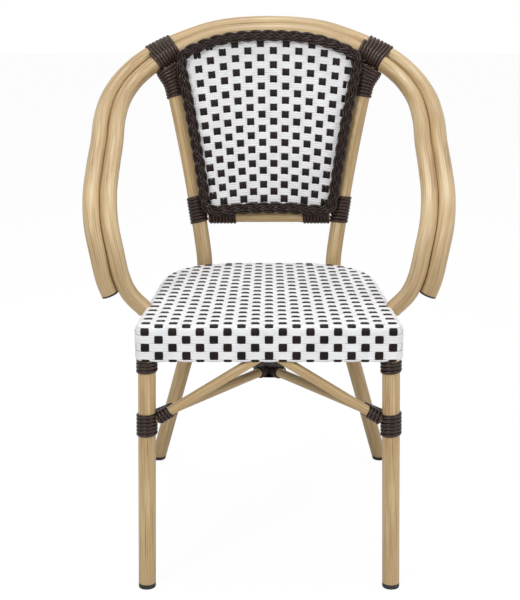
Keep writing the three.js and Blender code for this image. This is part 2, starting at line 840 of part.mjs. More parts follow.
// One stretcher runs through from leg to leg, and the other meets it in two halves.
function stretchers() {
  const front = [-1, 1].map((side) => legPoint(side, stretcherHeight));
  const rear = [-1, 1].map((side) => uprightPoint(side, stretcherHeight));
  const share = front[1].x / (front[1].x - rear[0].x);
  const crossing = front[1].clone().lerp(rear[0], share);
  const standing = [-1, 1].map((side) => (
    fatRoute(uprightRoute(side), tubeRadius, touchGap)
  ));
  const through = tube([front[0], rear[1]], braceRadius, braceWall)
    .subtract(lashedLeg(-1))
    .subtract(standing[1]);
  addPiece('stretcher_through', geometryOf(largest(through)), 'cane');
  const fatThrough = fatRoute([front[0], rear[1]], braceRadius, touchGap);
  const frontHalf = tube([front[1], crossing], braceRadius, braceWall)
    .subtract(lashedLeg(1))
    .subtract(fatThrough);
  addPiece('stretcher_front_half', geometryOf(largest(frontHalf)), 'cane');
  const rearHalf = tube([crossing, rear[0]], braceRadius, braceWall)
    .subtract(standing[0])
    .subtract(fatThrough);
  addPiece('stretcher_rear_half', geometryOf(largest(rearHalf)), 'cane');
  [-1, 1].forEach((side, index) => {
    const direction = crossing.clone().sub(front[index]).normalize();
    const clear = lashedReach(tubeRadius) + strandWidth / 2;
    const start = front[index].clone().addScaledVector(direction, clear);
    const name = `stretcher_lashing_${sideName(side)}`;
    tubeLashing(name, straightAxis(start, direction), braceRadius, stretcherEndTurns);
  });
  crossingLashing(crossing, crossing.clone().sub(front[0]).normalize());
}

// Loops around both stretchers where they cross, widening as the stretchers part.
function crossingLashing(crossing, direction) {
  const name = 'crossing_lashing';
  const length = crossingTurns * strandPitch;
  const axis = new THREE.Vector3(0, 1, 0);
  const radius = loopRadius(braceRadius, pairLoopSteps) + pairEase;
  const spreadRate = Math.abs(direction.x / direction.y);
  const solid = lashing(name, crossingTurns, pairLoopSteps, (share) => {
    const along = (share - 0.5) * length;
    return {
      centre: crossing.clone().addScaledVector(axis, along),
      axis,
      wide: new THREE.Vector3(-1, 0, 0),
      high: new THREE.Vector3(0, 0, 1),
      radius,
      spread: (Math.abs(along) + strandPitch) * spreadRate,
    };
  });
  addPiece(name, geometryOf(solid), 'strand');
}

function legLashings() {
  const underSeat = seatBottomAt(tubeRadius) - strandWidth - legTopTurns * strandPitch;
  const atBrace = braceFootHeight - legBraceLashing.drop;
  for (const side of [-1, 1]) {
    const [foot, top] = frontLegAxis(side);
    const upwards = top.clone().sub(foot).normalize();
    const topAxis = straightAxis(legPoint(side, underSeat), upwards);
    tubeLashing(`leg_top_lashing_${sideName(side)}`, topAxis, tubeRadius, legTopTurns);
    const braceAxis = straightAxis(legPoint(side, atBrace), upwards);
    const braceName = `leg_brace_lashing_${sideName(side)}`;
    tubeLashing(braceName, braceAxis, tubeRadius, legBraceLashing.turns);
  }
}

function backLashings() {
  for (const side of [-1, 1]) {
    const { turns, drop } = uprightLowLashing;
    const lowName = `upright_low_lashing_${sideName(side)}`;
    tubeLashing(lowName, uprightAxis(side, crossRailHeight - drop), tubeRadius, turns);
    const [beforeTop, top] = uprightRoute(side).slice(-2);
    const down = beforeTop.sub(top).normalize();
    const hoopAlong = hoopTangent(side * hoopLashing.middleShare);
    const lean = Math.acos(Math.abs(down.dot(hoopAlong)));
    const topClear = (lashedReach(tubeRadius) * (1 + Math.cos(lean))) / Math.sin(lean);
    const topStart = top.z + down.z * (topClear + uprightTopTurns * strandPitch);
    const topName = `upright_top_lashing_${sideName(side)}`;
    tubeLashing(topName, uprightAxis(side, topStart), tubeRadius, uprightTopTurns);
    const inward = new THREE.Vector3(-side, 0, 0);
    const railStart = crossRailPoint(side);
    railStart.addScaledVector(inward, lashedReach(tubeRadius) + strandWidth + strandThickness);
    const railName = `cross_rail_lashing_${sideName(side)}`;
    tubeLashing(railName, straightAxis(railStart, inward), crossRailRadius, crossRailTurns);
    hoopPairLashing(side);
  }
}

// Loops around both hoop tubes where the upright meets them.
function hoopPairLashing(side) {
  const name = `hoop_lashing_${sideName(side)}`;
  const middle = side * hoopLashing.middleShare;
  const step = 1 / hoopHalfSteps;
  const stepLength = hoopPoint(middle - step).distanceTo(hoopPoint(middle + step)) / 2;
  const reach = ((hoopLashing.turns * hoopLashing.pitch) / stepLength) * step;
  const solid = lashing(name, hoopLashing.turns, pairLoopSteps, (share) => {
    const at = middle + (share - 0.5) * reach;
    const wide = pairDirection(at);
    const axis = hoopTangent(at);
    return {
      centre: pairMiddle(at),
      axis,
      wide,
      high: axis.clone().cross(wide),
      radius: loopRadius(tubeRadius, pairLoopSteps) + pairEase,
      spread: pairDistance / 2,
    };
  });
  addPiece(name, geometryOf(solid), 'strand');
}

frontLegs();
uprights();
hoops();
seatRails();
seatCrossBars();
seatWeave();
crossRail();
backPanel();
frontBraces();
stretchers();
legLashings();
backLashings();

// The origin is under the middle of the whole chair, on the floor.
const bounds = new THREE.Box3().setFromObject(chair);
const centre = bounds.getCenter(new THREE.Vector3());
chair.position.set(-centre.x, -centre.y, -bounds.min.z);

export default chair;
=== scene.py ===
# Bistro armchair dressed over its CAD frame. Metres, Z up, the chair faces -Y.
import bpy
import math
import numpy as np
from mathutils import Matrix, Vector


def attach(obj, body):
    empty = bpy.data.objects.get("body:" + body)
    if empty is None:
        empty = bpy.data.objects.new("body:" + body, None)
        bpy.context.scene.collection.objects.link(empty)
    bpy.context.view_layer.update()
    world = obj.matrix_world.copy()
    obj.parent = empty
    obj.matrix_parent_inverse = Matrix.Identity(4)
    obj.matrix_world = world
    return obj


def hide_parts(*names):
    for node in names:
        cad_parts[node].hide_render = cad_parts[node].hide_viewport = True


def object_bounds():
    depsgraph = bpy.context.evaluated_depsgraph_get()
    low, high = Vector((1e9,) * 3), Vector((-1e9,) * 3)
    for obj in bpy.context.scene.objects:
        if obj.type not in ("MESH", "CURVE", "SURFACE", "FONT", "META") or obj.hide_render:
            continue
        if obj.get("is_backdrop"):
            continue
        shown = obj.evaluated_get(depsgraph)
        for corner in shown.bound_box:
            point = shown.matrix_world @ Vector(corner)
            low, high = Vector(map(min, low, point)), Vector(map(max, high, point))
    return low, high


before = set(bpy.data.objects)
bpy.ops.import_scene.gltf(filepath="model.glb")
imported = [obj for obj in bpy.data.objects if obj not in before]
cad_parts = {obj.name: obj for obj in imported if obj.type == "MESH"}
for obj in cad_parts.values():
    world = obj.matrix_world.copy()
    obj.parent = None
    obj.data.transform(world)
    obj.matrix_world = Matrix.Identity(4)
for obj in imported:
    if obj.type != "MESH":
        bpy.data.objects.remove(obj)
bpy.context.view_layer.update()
bpy.ops.object.select_all(action="DESELECT")
dice = np.random.default_rng(11)
print("frame loaded")

# The routes are laid out with the front feet at y = 0, as the CAD source does it.
layout = {"frontY": -0.28055, "touchGap": 0.0003}

seat = {
    "height": 0.459, "frontWidth": 0.425, "midWidth": 0.392, "midFromFront": 0.25,
    "depth": 0.441, "rearFlat": 0.12, "drop": 0.005, "apron": 0.061, "corner": 0.018,
    "shoulder": 0.012, "overhang": 0.02, "skin": 0.0012,
}


def mixed(a, b, share):
    return a + (b - a) * share


def unit(v):
    return v / np.linalg.norm(v)


def point(x, y, z):
    return np.array((x, y, z), float)


def atHeight(low, high, height):
    return mixed(low, high, (height - low[2]) / (high[2] - low[2]))


def curved(a, b, c, steps):  # quadratic bend from a to c, pulled towards b
    t = np.linspace(0, 1, steps + 1)[:, None]
    return a * (1 - t) ** 2 + 2 * b * t * (1 - t) + c * t ** 2


def curvedTwice(a, b, c, d, steps):
    t = np.linspace(0, 1, steps + 1)[:, None]
    return a * (1 - t) ** 3 + 3 * b * t * (1 - t) ** 2 + 3 * c * t ** 2 * (1 - t) + d * t ** 3


def smoothStep(x):
    x = np.clip(x, 0, 1)
    return x * x * (3 - 2 * x)


def unitRows(rows):
    return rows / np.linalg.norm(rows, axis=1)[:, None]


def loopSides(loop):  # outward direction at each point of a flat closed loop
    ahead = np.roll(loop, -1, axis=0) - np.roll(loop, 1, axis=0)
    return unitRows(np.stack([ahead[:, 1], -ahead[:, 0]], axis=1))


def runAlong(route):  # distance of each point from the start
    return np.concatenate(([0], np.cumsum(np.linalg.norm(np.diff(route, axis=0), axis=1))))


def evenSteps(route, step):  # the same route with its points a step apart
    route = np.asarray(route, float)
    run = runAlong(route)
    at = np.linspace(0, run[-1], max(2, int(round(run[-1] / step)) + 1))
    return np.stack([np.interp(at, run, route[:, i]) for i in range(3)], axis=1)


outlineSteps = {"front": 60, "corner": 16, "flank": 60, "rear": 90, "tail": 20,
                "pastCorner": 90}


def seatOutline():  # right half in plan, from the middle of the front to the middle of the rear
    side, front = seat["frontWidth"] / 2, -seat["overhang"]
    rear, mid = front + seat["depth"], front + seat["midFromFront"]
    half = seat["midWidth"] / 2
    corner = curved(np.array((side - seat["corner"], front)), np.array((side, front)),
                    np.array((side, front + seat["corner"])), outlineSteps["corner"])
    back = curvedTwice(np.array((half, mid)), np.array((0.985 * half, mid + 0.53 * (rear - mid))),
                       np.array((0.91 * half, mid + 0.94 * (rear - mid))),
                       np.array((seat["rearFlat"] / 2, rear)), outlineSteps["rear"])
    count = outlineSteps["front"]
    lead = np.stack([np.linspace(0, side - seat["corner"], count), np.full(count, front)], axis=1)
    flank = mixed(corner[-1], back[0], np.linspace(0, 1, outlineSteps["flank"])[:, None])
    count = outlineSteps["tail"]
    tail = np.stack([np.linspace(seat["rearFlat"] / 2, 0, count), np.full(count, rear)], axis=1)
    return np.concatenate([lead[:-1], corner[:-1], flank[:-1], back[:-1], tail])


rightHalf = seatOutline()
leftHalf = rightHalf[1:-1][::-1] * (-1, 1)
ringPlan = np.concatenate([rightHalf, leftHalf])  # once around, from the front over the right side
ringOut = loopSides(ringPlan)
closedPlan = np.concatenate([ringPlan, ringPlan[:1]])
closedOut = np.concatenate([ringOut, ringOut[:1]])
ringRun = runAlong(closedPlan)
ringLength = ringRun[-1]


def ringPlace(run):  # point and outward direction at a distance around the outline
    run = np.mod(run, ringLength)
    place = np.stack([np.interp(run, ringRun, closedPlan[:, i]) for i in (0, 1)], axis=-1)
    out = np.stack([np.interp(run, ringRun, closedOut[:, i]) for i in (0, 1)], axis=-1)
    return place, out / np.linalg.norm(out, axis=-1, keepdims=True)


def runNear(x, y):  # distance around the outline of the point nearest to a place in plan
    return ringRun[np.argmin((ringPlan[:, 0] - x) ** 2 + (ringPlan[:, 1] - y) ** 2)]


def seatTop(y):
    return seat["height"] - seat["drop"] * (y + seat["overhang"]) / seat["depth"]


# The hoop is the centripetal curve through the same key points as in the CAD.
hoop = {
    "width": 0.538, "topHeight": 0.875, "topFromFront": 0.508, "armFromFront": 0.1,
    "armEndRise": 0.006, "armEndOutreach": 0.0085, "armEndShare": 0.01,
    "pairLift": math.radians(24), "besideShare": 0.4286, "halfSteps": 28, "outerShare": 25 / 28,
    "innerPoints": 241, "outerPoints": 221, "probe": 0.0002,
    "shares": [
        (0, 1, 1), (0.337, 0.995, 0.984), (0.536, 0.981, 0.944), (0.734, 0.953, 0.883),
        (0.891, 0.902, 0.809), (0.974, 0.797, 0.741), (1, 0.625, 0.668),
        (0.993, 0.449, 0.588), (0.993, 0.282, 0.511), (0.989, 0.135, 0.428),
        (0.97, 0.044, 0.338), (0.936, 0.007, 0.239), (0.899, 0, 0.13), (0.852, 0.002, 0.064),
    ],
}
tubes = {"radius": 0.0143, "railRadius": 0.011, "braceRadius": 0.008, "sides": 36}


def hoopKeys():
    half = hoop["width"] / 2
    endX = seat["midWidth"] / 2 + hoop["armEndOutreach"]
    railMiddle = (seatTop(hoop["armFromFront"]) - 2 * seat["skin"] - layout["touchGap"]
                  - tubes["railRadius"])
    endZ = railMiddle + hoop["armEndRise"]
    depth, rise = hoop["topFromFront"] - hoop["armFromFront"], hoop["topHeight"] - endZ
    right = [point(half * a, hoop["armFromFront"] + depth * b, endZ + rise * c)
             for a, b, c in hoop["shares"] + [(endX / half, hoop["armEndShare"], 0)]]
    left = [k * (-1, 1, 1) for k in right[:0:-1]]
    return left + right


keyPoints = hoopKeys()


def hoopPoint(share):
    spot = (1 + share) / 2 * (len(keyPoints) - 1)
    i = min(max(int(math.floor(spot)), 0), len(keyPoints) - 2)
    t = spot - i
    b, c = keyPoints[i], keyPoints[i + 1]
    a = keyPoints[i - 1] if i > 0 else 2 * b - c
    d = keyPoints[i + 2] if i + 2 < len(keyPoints) else 2 * c - b
    d0, d1, d2 = (math.sqrt(np.linalg.norm(q - p)) for p, q in ((a, b), (b, c), (c, d)))
    m1 = ((b - a) / d0 - (c - a) / (d0 + d1) + (c - b) / d1) * d1
    m2 = ((c - b) / d1 - (d - b) / (d1 + d2) + (d - c) / d2) * d1
    return (b + m1 * t + (-3 * b + 3 * c - 2 * m1 - m2) * t ** 2
            + (2 * b - 2 * c + m1 + m2) * t ** 3)


def hoopAlong(share):
    low, high = max(share - hoop["probe"], -1), min(share + hoop["probe"], 1)
    return unit(hoopPoint(high) - hoopPoint(low))


def pairDirection(share):  # from the inner tube to the outer one
    along = hoopAlong(share)
    behind = point(0, math.cos(hoop["pairLift"]), math.sin(hoop["pairLift"]))
    blend = float(smoothStep(abs(share) / hoop["besideShare"]))
    wanted = mixed(behind, point(math.copysign(1, share), 0, 0), blend)
    return unit(wanted - along * float(wanted @ along))


pairDistance = 2 * tubes["radius"]

legs = {
    "footSpread": 0.4064, "topSpread": 0.386, "top": 0.4446, "glide": 0.008,
    "rearSpread": 0.459, "rearFromFront": 0.566, "waistSpread": 0.232, "waistHeight": 0.421,
    "waistFromFront": 0.4230, "bowSpread": 0.294, "bowHeight": 0.648, "bend": 0.18,
    "middleShare": 0.2036, "hoopClear": 0.016, "bendSteps": 20, "bowSteps": 30,
}


def legPoint(side, height):
    foot = point(side * legs["footSpread"] / 2, 0, 0)
    top = point(side * legs["topSpread"] / 2, 0, seat["height"])
    return atHeight(foot, top, height)


def uprightCorners(side):
    foot = point(side * legs["rearSpread"] / 2, legs["rearFromFront"], 0)
    waist = point(side * legs["waistSpread"] / 2, legs["waistFromFront"], legs["waistHeight"])
    return foot, waist, hoopPoint(side * legs["middleShare"])


def uprightRoute(side):
    foot, waist, top = uprightCorners(side)
    bow = atHeight(waist, top, legs["bowHeight"])
    bow[0] = side * legs["bowSpread"] / 2
    back, on = unit(foot - waist), unit(bow - waist)
    reach = legs["bend"] * math.tan((math.pi - math.acos(float(back @ on))) / 2)
    bend = curved(waist + back * reach, waist, waist + on * reach, legs["bendSteps"])
    upper = curved(bend[-1], bow, top, legs["bowSteps"])
    return np.concatenate([[atHeight(foot, bend[0], legs["glide"])], bend, upper[1:]])


def uprightPoint(side, height):
    route = uprightRoute(side)
    i = int(np.argmax(route[:, 2] >= height))
    return atHeight(route[i - 1], route[i], height)


def straightHose(sides, rings):  # a circle drawn out straight, to be laid along a route later
    bpy.ops.object.select_all(action="DESELECT")
    bpy.ops.mesh.primitive_circle_add(vertices=sides, radius=1, location=(0, 0, 0))
    hose = bpy.context.object
    drawn = hose.modifiers.new("drawOut", "SCREW")
    drawn.angle, drawn.screw_offset = 0, 1
    drawn.steps = drawn.render_steps = rings - 1
    bpy.ops.object.modifier_apply(modifier=drawn.name)
    bpy.ops.object.mode_set(mode="EDIT")
    bpy.ops.mesh.select_all(action="SELECT")
    bpy.ops.mesh.fill_holes(sides=0)
    bpy.ops.mesh.select_all(action="SELECT")
    bpy.ops.mesh.normals_make_consistent(inside=False)
    bpy.ops.object.mode_set(mode="OBJECT")
    mesh = hose.data
    mesh.name = "hose"
    spots = np.empty(len(mesh.vertices) * 3)
    mesh.vertices.foreach_get("co", spots)
    spots = spots.reshape(-1, 3)
    turn = np.mod(np.arctan2(spots[:, 1], spots[:, 0]) / (2 * math.pi), 1)
    j = np.mod(np.floor(turn * sides + 0.25).astype(int), sides)
    i = np.rint(spots[:, 2] * (rings - 1)).astype(int)
    bpy.data.objects.remove(hose)
    return mesh, i, j


hoses = {}


def layHose(name, rings):  # rings is an array of ring, point around the ring, coordinate
    count, sides = rings.shape[:2]
    if (sides, count) not in hoses:
        hoses[sides, count] = straightHose(sides, count)
    base, i, j = hoses[sides, count]
    mesh = base.copy()
    mesh.name = name
    spots = rings[i, j] + (0, layout["frontY"], 0)
    mesh.vertices.foreach_set("co", spots.ravel())
    writeUv(mesh, rings, i, j)
    mesh.update()
    piece = bpy.data.objects.new(name, mesh)
    bpy.context.collection.objects.link(piece)
    return piece


def writeUv(mesh, rings, i, j):  # metres: across the strand, then along it
    count, sides = rings.shape[:2]
    run = runAlong(rings.mean(axis=1))
    girth = np.linalg.norm(rings[count // 2] - np.roll(rings[count // 2], 1, axis=0), axis=1).sum()
    corners = np.empty(len(mesh.loops), int)
    mesh.loops.foreach_get("vertex_index", corners)
    starts = np.empty(len(mesh.polygons), int)
    sizes = np.empty(len(mesh.polygons), int)
    mesh.polygons.foreach_get("loop_start", starts)
    mesh.polygons.foreach_get("loop_total", sizes)
    face = np.repeat(np.arange(len(starts)), sizes)
    around = j[corners].astype(float)
    seam = np.zeros(len(starts), bool)
    np.logical_or.at(seam, face, around == sides - 1)
    crosses = np.zeros(len(starts), bool)
    np.logical_or.at(crosses, face, around == 0)
    around[(seam & crosses)[face] & (around == 0)] = sides
    uv = np.stack([around / sides * girth, run[i[corners]]], axis=1)
    layer = mesh.uv_layers.new(name="alongStrand")
    layer.data.foreach_set("uv", uv.ravel())


def sectionRings(route, outward, section):  # a section's points are across, then outward
    route, outward = np.asarray(route, float), np.asarray(outward, float)
    ahead = unitRows(np.gradient(route, axis=0))
    across = unitRows(np.cross(ahead, outward))
    out = np.cross(across, ahead)
    section = np.asarray(section)
    return (route[:, None] + across[:, None] * section[None, :, :1]
            + out[:, None] * section[None, :, 1:2])


def steadyFrames(route):  # outward directions that don't twist along a route
    ahead = unitRows(np.gradient(route, axis=0))
    out = np.cross(ahead[0], (0.3, 0.1, 0.9))  # a direction that no tube starts in
    frames = []
    for step in ahead:
        out = unit(out - step * float(out @ step))
        frames.append(out)
    return np.array(frames)


def roundSection(radius, sides):
    turn = np.arange(sides) * 2 * math.pi / sides
    return np.stack([radius * np.cos(turn), radius * np.sin(turn)], axis=1)


def flatSection(width, thickness):  # a flat strand with a crowned face
    half, deep = width / 2, thickness / 2
    return np.array(((half, -0.15 * deep), (0.6 * half, deep), (-0.6 * half, deep),
                     (-half, -0.15 * deep), (-0.7 * half, -deep), (0.7 * half, -deep)))


def leanSection(section, angle):
    turn = np.array(((math.cos(angle), math.sin(angle)), (-math.sin(angle), math.cos(angle))))
    return section @ turn


def joinAs(name, parts):
    bpy.ops.object.select_all(action="DESELECT")
    for part in parts:
        part.select_set(True)
    bpy.context.view_layer.objects.active = parts[0]
    if len(parts) > 1:
        bpy.ops.object.join()
    piece = bpy.context.object
    piece.name = piece.data.name = name
    return piece


def cadName(name):  # frontLeg.left stands for front_leg_left
    return "".join("_" + c.lower() if c.isupper() else c for c in name).replace(".", "_")


def finished(piece, material, nodes, smoothAngle=50):
    bpy.ops.object.select_all(action="DESELECT")
    piece.select_set(True)
    bpy.context.view_layer.objects.active = piece
    bpy.ops.object.shade_smooth_by_angle(angle=math.radians(smoothAngle))
    piece.data.materials.clear()
    piece.data.materials.append(material)
    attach(piece, "root")
    if nodes:
        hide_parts(*nodes)
    piece.select_set(False)
    return piece


def tone(red, green, blue):  # a colour as it looks on screen, 0 to 255
    return tuple(c / 255 / 12.92 if c < 11 else ((c / 255 + 0.055) / 1.055) ** 2.4
                 for c in (red, green, blue)) + (1,)


def grey(level):
    return (level, level, level, 1)


def newMaterial(name):
    made = bpy.data.materials.new(name)
    made.use_nodes = True
    return made


def shaderInputs(made):
    return made.node_tree.nodes["Principled BSDF"].inputs


def addNode(made, kind, **settings):  # a setting is an input's value or one of the node's own
    node = made.node_tree.nodes.new(kind)
    for key, value in settings.items():
        if key in node.inputs.keys():
            node.inputs[key].default_value = value
        else:
            setattr(node, key, value)
    return node


def wire(made, start, end):
    made.node_tree.links.new(start, end)


def addNoise(made, source, stretch, detail, roughness):
    mapping = addNode(made, "ShaderNodeMapping", Scale=stretch)
    wire(made, source, mapping.inputs["Vector"])
    noise = addNode(made, "ShaderNodeTexNoise", Scale=1, Detail=detail, Roughness=roughness)
    wire(made, mapping.outputs["Vector"], noise.inputs["Vector"])
    return noise.outputs["Fac"]


def addRamp(made, source, *stops):  # a stop is a place and its colour
    ramp = addNode(made, "ShaderNodeValToRGB")
    band = ramp.color_ramp
    while len(band.elements) < len(stops):
        band.elements.new(0.5)
    for element, (place, colour) in zip(band.elements, stops):
        element.position, element.color = place, colour
    wire(made, source, ramp.inputs["Fac"])
    return ramp.outputs["Color"]


def addMix(made, kind, amount, first, second):
    mix = addNode(made, "ShaderNodeMix", data_type="RGBA", blend_type=kind)
    for source, socket in ((amount, mix.inputs[0]), (first, mix.inputs[6]),
                           (second, mix.inputs[7])):
        if isinstance(source, bpy.types.NodeSocket):
            wire(made, source, socket)
        else:
            socket.default_value = source
    return mix.outputs[2]


def addBump(made, height, strength, distance):
    bump = addNode(made, "ShaderNodeBump", Strength=strength, Distance=distance)
    wire(made, height, bump.inputs["Height"])
    wire(made, bump.outputs["Normal"], shaderInputs(made)["Normal"])


def alongStrand(made):  # across the strand, then along it, in metres
    return addNode(made, "ShaderNodeUVMap", uv_map="alongStrand").outputs["UV"]


def objectPlace(made):
    return addNode(made, "ShaderNodeTexCoord").outputs["Object"]


bamboo = {
    "pale": tone(217, 197, 158), "tan": tone(197, 170, 125), "brown": tone(164, 131, 85),
    "streak": tone(108, 78, 48), "coat": 0.12, "coatRoughness": 0.25,
}


def bambooPrint(name, *paintedShadeByHeight):  # heights, each with a painted shade that multiplies the print there
    made = newMaterial(name)
    uv = alongStrand(made)
    broad = addNoise(made, uv, (60, 5, 1), 3, 0.5)
    fine = addNoise(made, uv, (420, 8, 1), 5, 0.65)
    lines = addNoise(made, uv, (430, 6, 7), 3, 0.55)
    base = addRamp(made, broad, (0.32, bamboo["brown"]), (0.5, bamboo["tan"]),
                   (0.66, bamboo["pale"]))
    grain = addRamp(made, fine, (0.35, bamboo["brown"]), (0.55, bamboo["pale"]))
    body = addMix(made, "MIX", 0.42, base, grain)
    marks = addRamp(made, lines, (0.54, grey(0)), (0.74, grey(1)))
    streaked = addMix(made, "MIX", 0.8, body, bamboo["streak"])
    colour = addMix(made, "MIX", marks, body, streaked)
    # painted shade: the print is darkened, lightened and tinted by height, standing in for how
    # light falls on the tubes
    height = addNode(made, "ShaderNodeSeparateXYZ")
    wire(made, objectPlace(made), height.inputs["Vector"])
    stops = [(place, shade + (1,)) for place, shade in paintedShadeByHeight]
    paintedShade = addRamp(made, height.outputs["Z"], *stops)
    shader = shaderInputs(made)
    wire(made, addMix(made, "MULTIPLY", 1.0, colour, paintedShade), shader["Base Color"])
    wire(made, addRamp(made, fine, (0.3, grey(0.36)), (0.7, grey(0.5))), shader["Roughness"])
    shader["Coat Weight"].default_value = bamboo["coat"]
    shader["Coat Roughness"].default_value = bamboo["coatRoughness"]
    addBump(made, lines, 0.05, 0.0004)
    return made


def strandPlastic(name, dark, light, roughness, specular, crestHighlight=None):
    made = newMaterial(name)
    uv = alongStrand(made)
    drawn = addNoise(made, uv, (1500, 25, 1), 3, 0.6)
    cloud = addNoise(made, objectPlace(made), (38, 38, 38), 3, 0.5)
    base = addRamp(made, cloud, (0.35, dark), (0.65, light))
    drawnTone = addRamp(made, drawn, (0.35, dark), (0.65, light))
    colour = addMix(made, "MIX", 0.35, base, drawnTone)
    if crestHighlight:  # a painted highlight, lighter along the middle of the strand
        across = addNode(made, "ShaderNodeSeparateXYZ")
        wire(made, uv, across.inputs["Vector"])
        highlightBand = addRamp(made, across.outputs["X"], (0.0020, grey(0)), (0.0034, grey(1)),
                       (0.0048, grey(0)))
        colour = addMix(made, "MIX", highlightBand, colour, addMix(made, "MIX", 0.7, colour, crestHighlight))
    shader = shaderInputs(made)
    wire(made, colour, shader["Base Color"])
    rough = addRamp(made, drawn, (0.3, grey(roughness - 0.06)), (0.7, grey(roughness + 0.08)))
    wire(made, rough, shader["Roughness"])
    shader["Specular IOR Level"].default_value = specular
    addBump(made, drawn, 0.25, 0.0003)
    return made


def mouldedPlastic(name):
    made = newMaterial(name)
    spot = objectPlace(made)
    grain = addNoise(made, spot, (900, 900, 900), 2, 0.5)
    scuff = addNoise(made, spot, (60, 60, 140), 4, 0.7)
    shader = shaderInputs(made)
    wire(made, addRamp(made, scuff, (0.4, tone(30, 30, 32)), (0.75, tone(58, 58, 60))),
         shader["Base Color"])
    wire(made, addRamp(made, scuff, (0.3, grey(0.5)), (0.7, grey(0.68))), shader["Roughness"])
    addBump(made, grain, 0.2, 0.0002)
    return made


def drawnAluminium(name):
    made = newMaterial(name)
    spot = objectPlace(made)
    drawn = addNoise(made, spot, (12, 500, 500), 4, 0.6)
    dull = addNoise(made, spot, (45, 45, 45), 3, 0.6)
    shader = shaderInputs(made)
    wire(made, addRamp(made, dull, (0.35, tone(176, 178, 180)), (0.7, tone(206, 207, 209))),
         shader["Base Color"])
    wire(made, addRamp(made, drawn, (0.3, grey(0.3)), (0.7, grey(0.48))), shader["Roughness"])
    shader["Metallic"].default_value = 0.95
    addBump(made, drawn, 0.1, 0.0002)
    return made


# painted shade by height: the hoop darker at its top and low on the arms, the back darker and
# cooler low, the legs nearly even and a touch darker higher
caneHoop = bambooPrint("bambooPrintHoop", (0.48, (0.86, 0.82, 0.78)), (0.64, (0.97, 0.95, 0.93)),
                       (0.80, (0.85, 0.81, 0.755)))
caneLegs = bambooPrint("bambooPrintLegs", (0.10, (0.92, 0.87, 0.78)), (0.40, (0.90, 0.84, 0.745)))
caneBack = bambooPrint("bambooPrintBack", (0.32, (0.76, 0.70, 0.61)), (0.52, (1.0, 0.95, 0.87)))
# the last colour given to darkStrand and plaitStrand is their painted highlight
darkStrand = strandPlastic("darkStrand", tone(20, 12, 10), tone(42, 29, 25), 0.22, 0.24,
                           tone(100, 77, 67))
plaitStrand = strandPlastic("plaitStrand", tone(13, 8, 7), tone(27, 17, 15), 0.16, 0.2,
                            tone(74, 57, 50))
darkWarp = strandPlastic("darkWarp", tone(18, 12, 11), tone(35, 25, 23), 0.38, 0.15)
whiteStrand = strandPlastic("whiteStrand", tone(228, 228, 230), tone(240, 240, 241), 0.42, 0.4)
blackPlastic = mouldedPlastic("blackPlastic")
bareAluminium = drawnAluminium("bareAluminium")
print("materials made")


def layTube(name, route, radius, material, step=0.006, flatEnds=(None, None)):
    route = evenSteps(route, step)
    rings = sectionRings(route, steadyFrames(route), roundSection(radius, tubes["sides"]))
    for end, height in zip((0, -1), flatEnds):
        if height is not None:
            ahead = unit(route[end] - route[1 if end == 0 else -2])
            rings[end] += ahead * ((height - rings[end][:, 2:3]) / ahead[2])
    return finished(layHose(name, rings), material, [cadName(name)], 40)


for side, word in ((-1, "left"), (1, "right")):
    legRoute = [legPoint(side, legs["glide"]), legPoint(side, legs["top"])]
    layTube(f"frontLeg.{word}", legRoute, tubes["radius"], caneLegs, 0.02,
            (legs["glide"], legs["top"]))
    route = evenSteps(uprightRoute(side), 0.004)
    clear = np.linalg.norm(route - route[-1], axis=1) > legs["hoopClear"]
    layTube(f"rearUpright.{word}", route[clear], tubes["radius"], caneBack, 0.008,
            (legs["glide"], None))

innerRoute = [hoopPoint(s) for s in np.linspace(-1, 1, hoop["innerPoints"])]
outerShares = np.linspace(-hoop["outerShare"], hoop["outerShare"], hoop["outerPoints"])
outerRoute = [hoopPoint(s) + pairDirection(s) * pairDistance for s in outerShares]
layTube("innerHoop", innerRoute, tubes["radius"], caneHoop)
layTube("outerHoop", outerRoute, tubes["radius"], caneHoop)

crossRail = {"height": 0.537, "clear": 0.0187}
railEnds = [uprightPoint(side, crossRail["height"]) for side in (-1, 1)]
railAhead = unit(railEnds[1] - railEnds[0])
layTube("backCrossRail", [railEnds[0] + railAhead * crossRail["clear"],
                          railEnds[1] - railAhead * crossRail["clear"]],
        tubes["railRadius"], caneBack, 0.02)

# Braces and stretchers end short of what they are welded to by their clear lengths.
bracing = {
    "braceFoot": 0.286, "braceTop": (0, -0.0063, 0.41184), "topClear": 0.0135,
    "stretcher": 0.295, "legClear": 0.0187, "rearClear": 0.0155, "crossClear": 0.0105,
}
braceTop = point(*bracing["braceTop"])
for side, word in ((-1, "left"), (1, "right")):
    foot = legPoint(side, bracing["braceFoot"])
    ahead = unit(braceTop - foot)
    brace = [foot + ahead * bracing["legClear"], braceTop - ahead * bracing["topClear"]]
    layTube(f"frontBrace.{word}", brace, tubes["braceRadius"], caneLegs, 0.02)

frontEnds = [legPoint(side, bracing["stretcher"]) for side in (-1, 1)]
rearEnds = [uprightPoint(side, bracing["stretcher"]) for side in (-1, 1)]
crossing = mixed(frontEnds[1], rearEnds[0],
                 frontEnds[1][0] / (frontEnds[1][0] - rearEnds[0][0]))
throughAhead = unit(rearEnds[1] - frontEnds[0])
otherAhead = unit(rearEnds[0] - frontEnds[1])

for name, start, end, ahead, startClear, endClear in (
        ("stretcherThrough", frontEnds[0], rearEnds[1], throughAhead, "legClear", "rearClear"),
        ("stretcherFrontHalf", frontEnds[1], crossing, otherAhead, "legClear", "crossClear"),
        ("stretcherRearHalf", crossing, rearEnds[0], otherAhead, "crossClear", "rearClear")):
    layTube(name, [start + ahead * bracing[startClear], end - ahead * bracing[endClear]],
            tubes["braceRadius"], caneLegs, 0.02)
print("cane tubes laid")


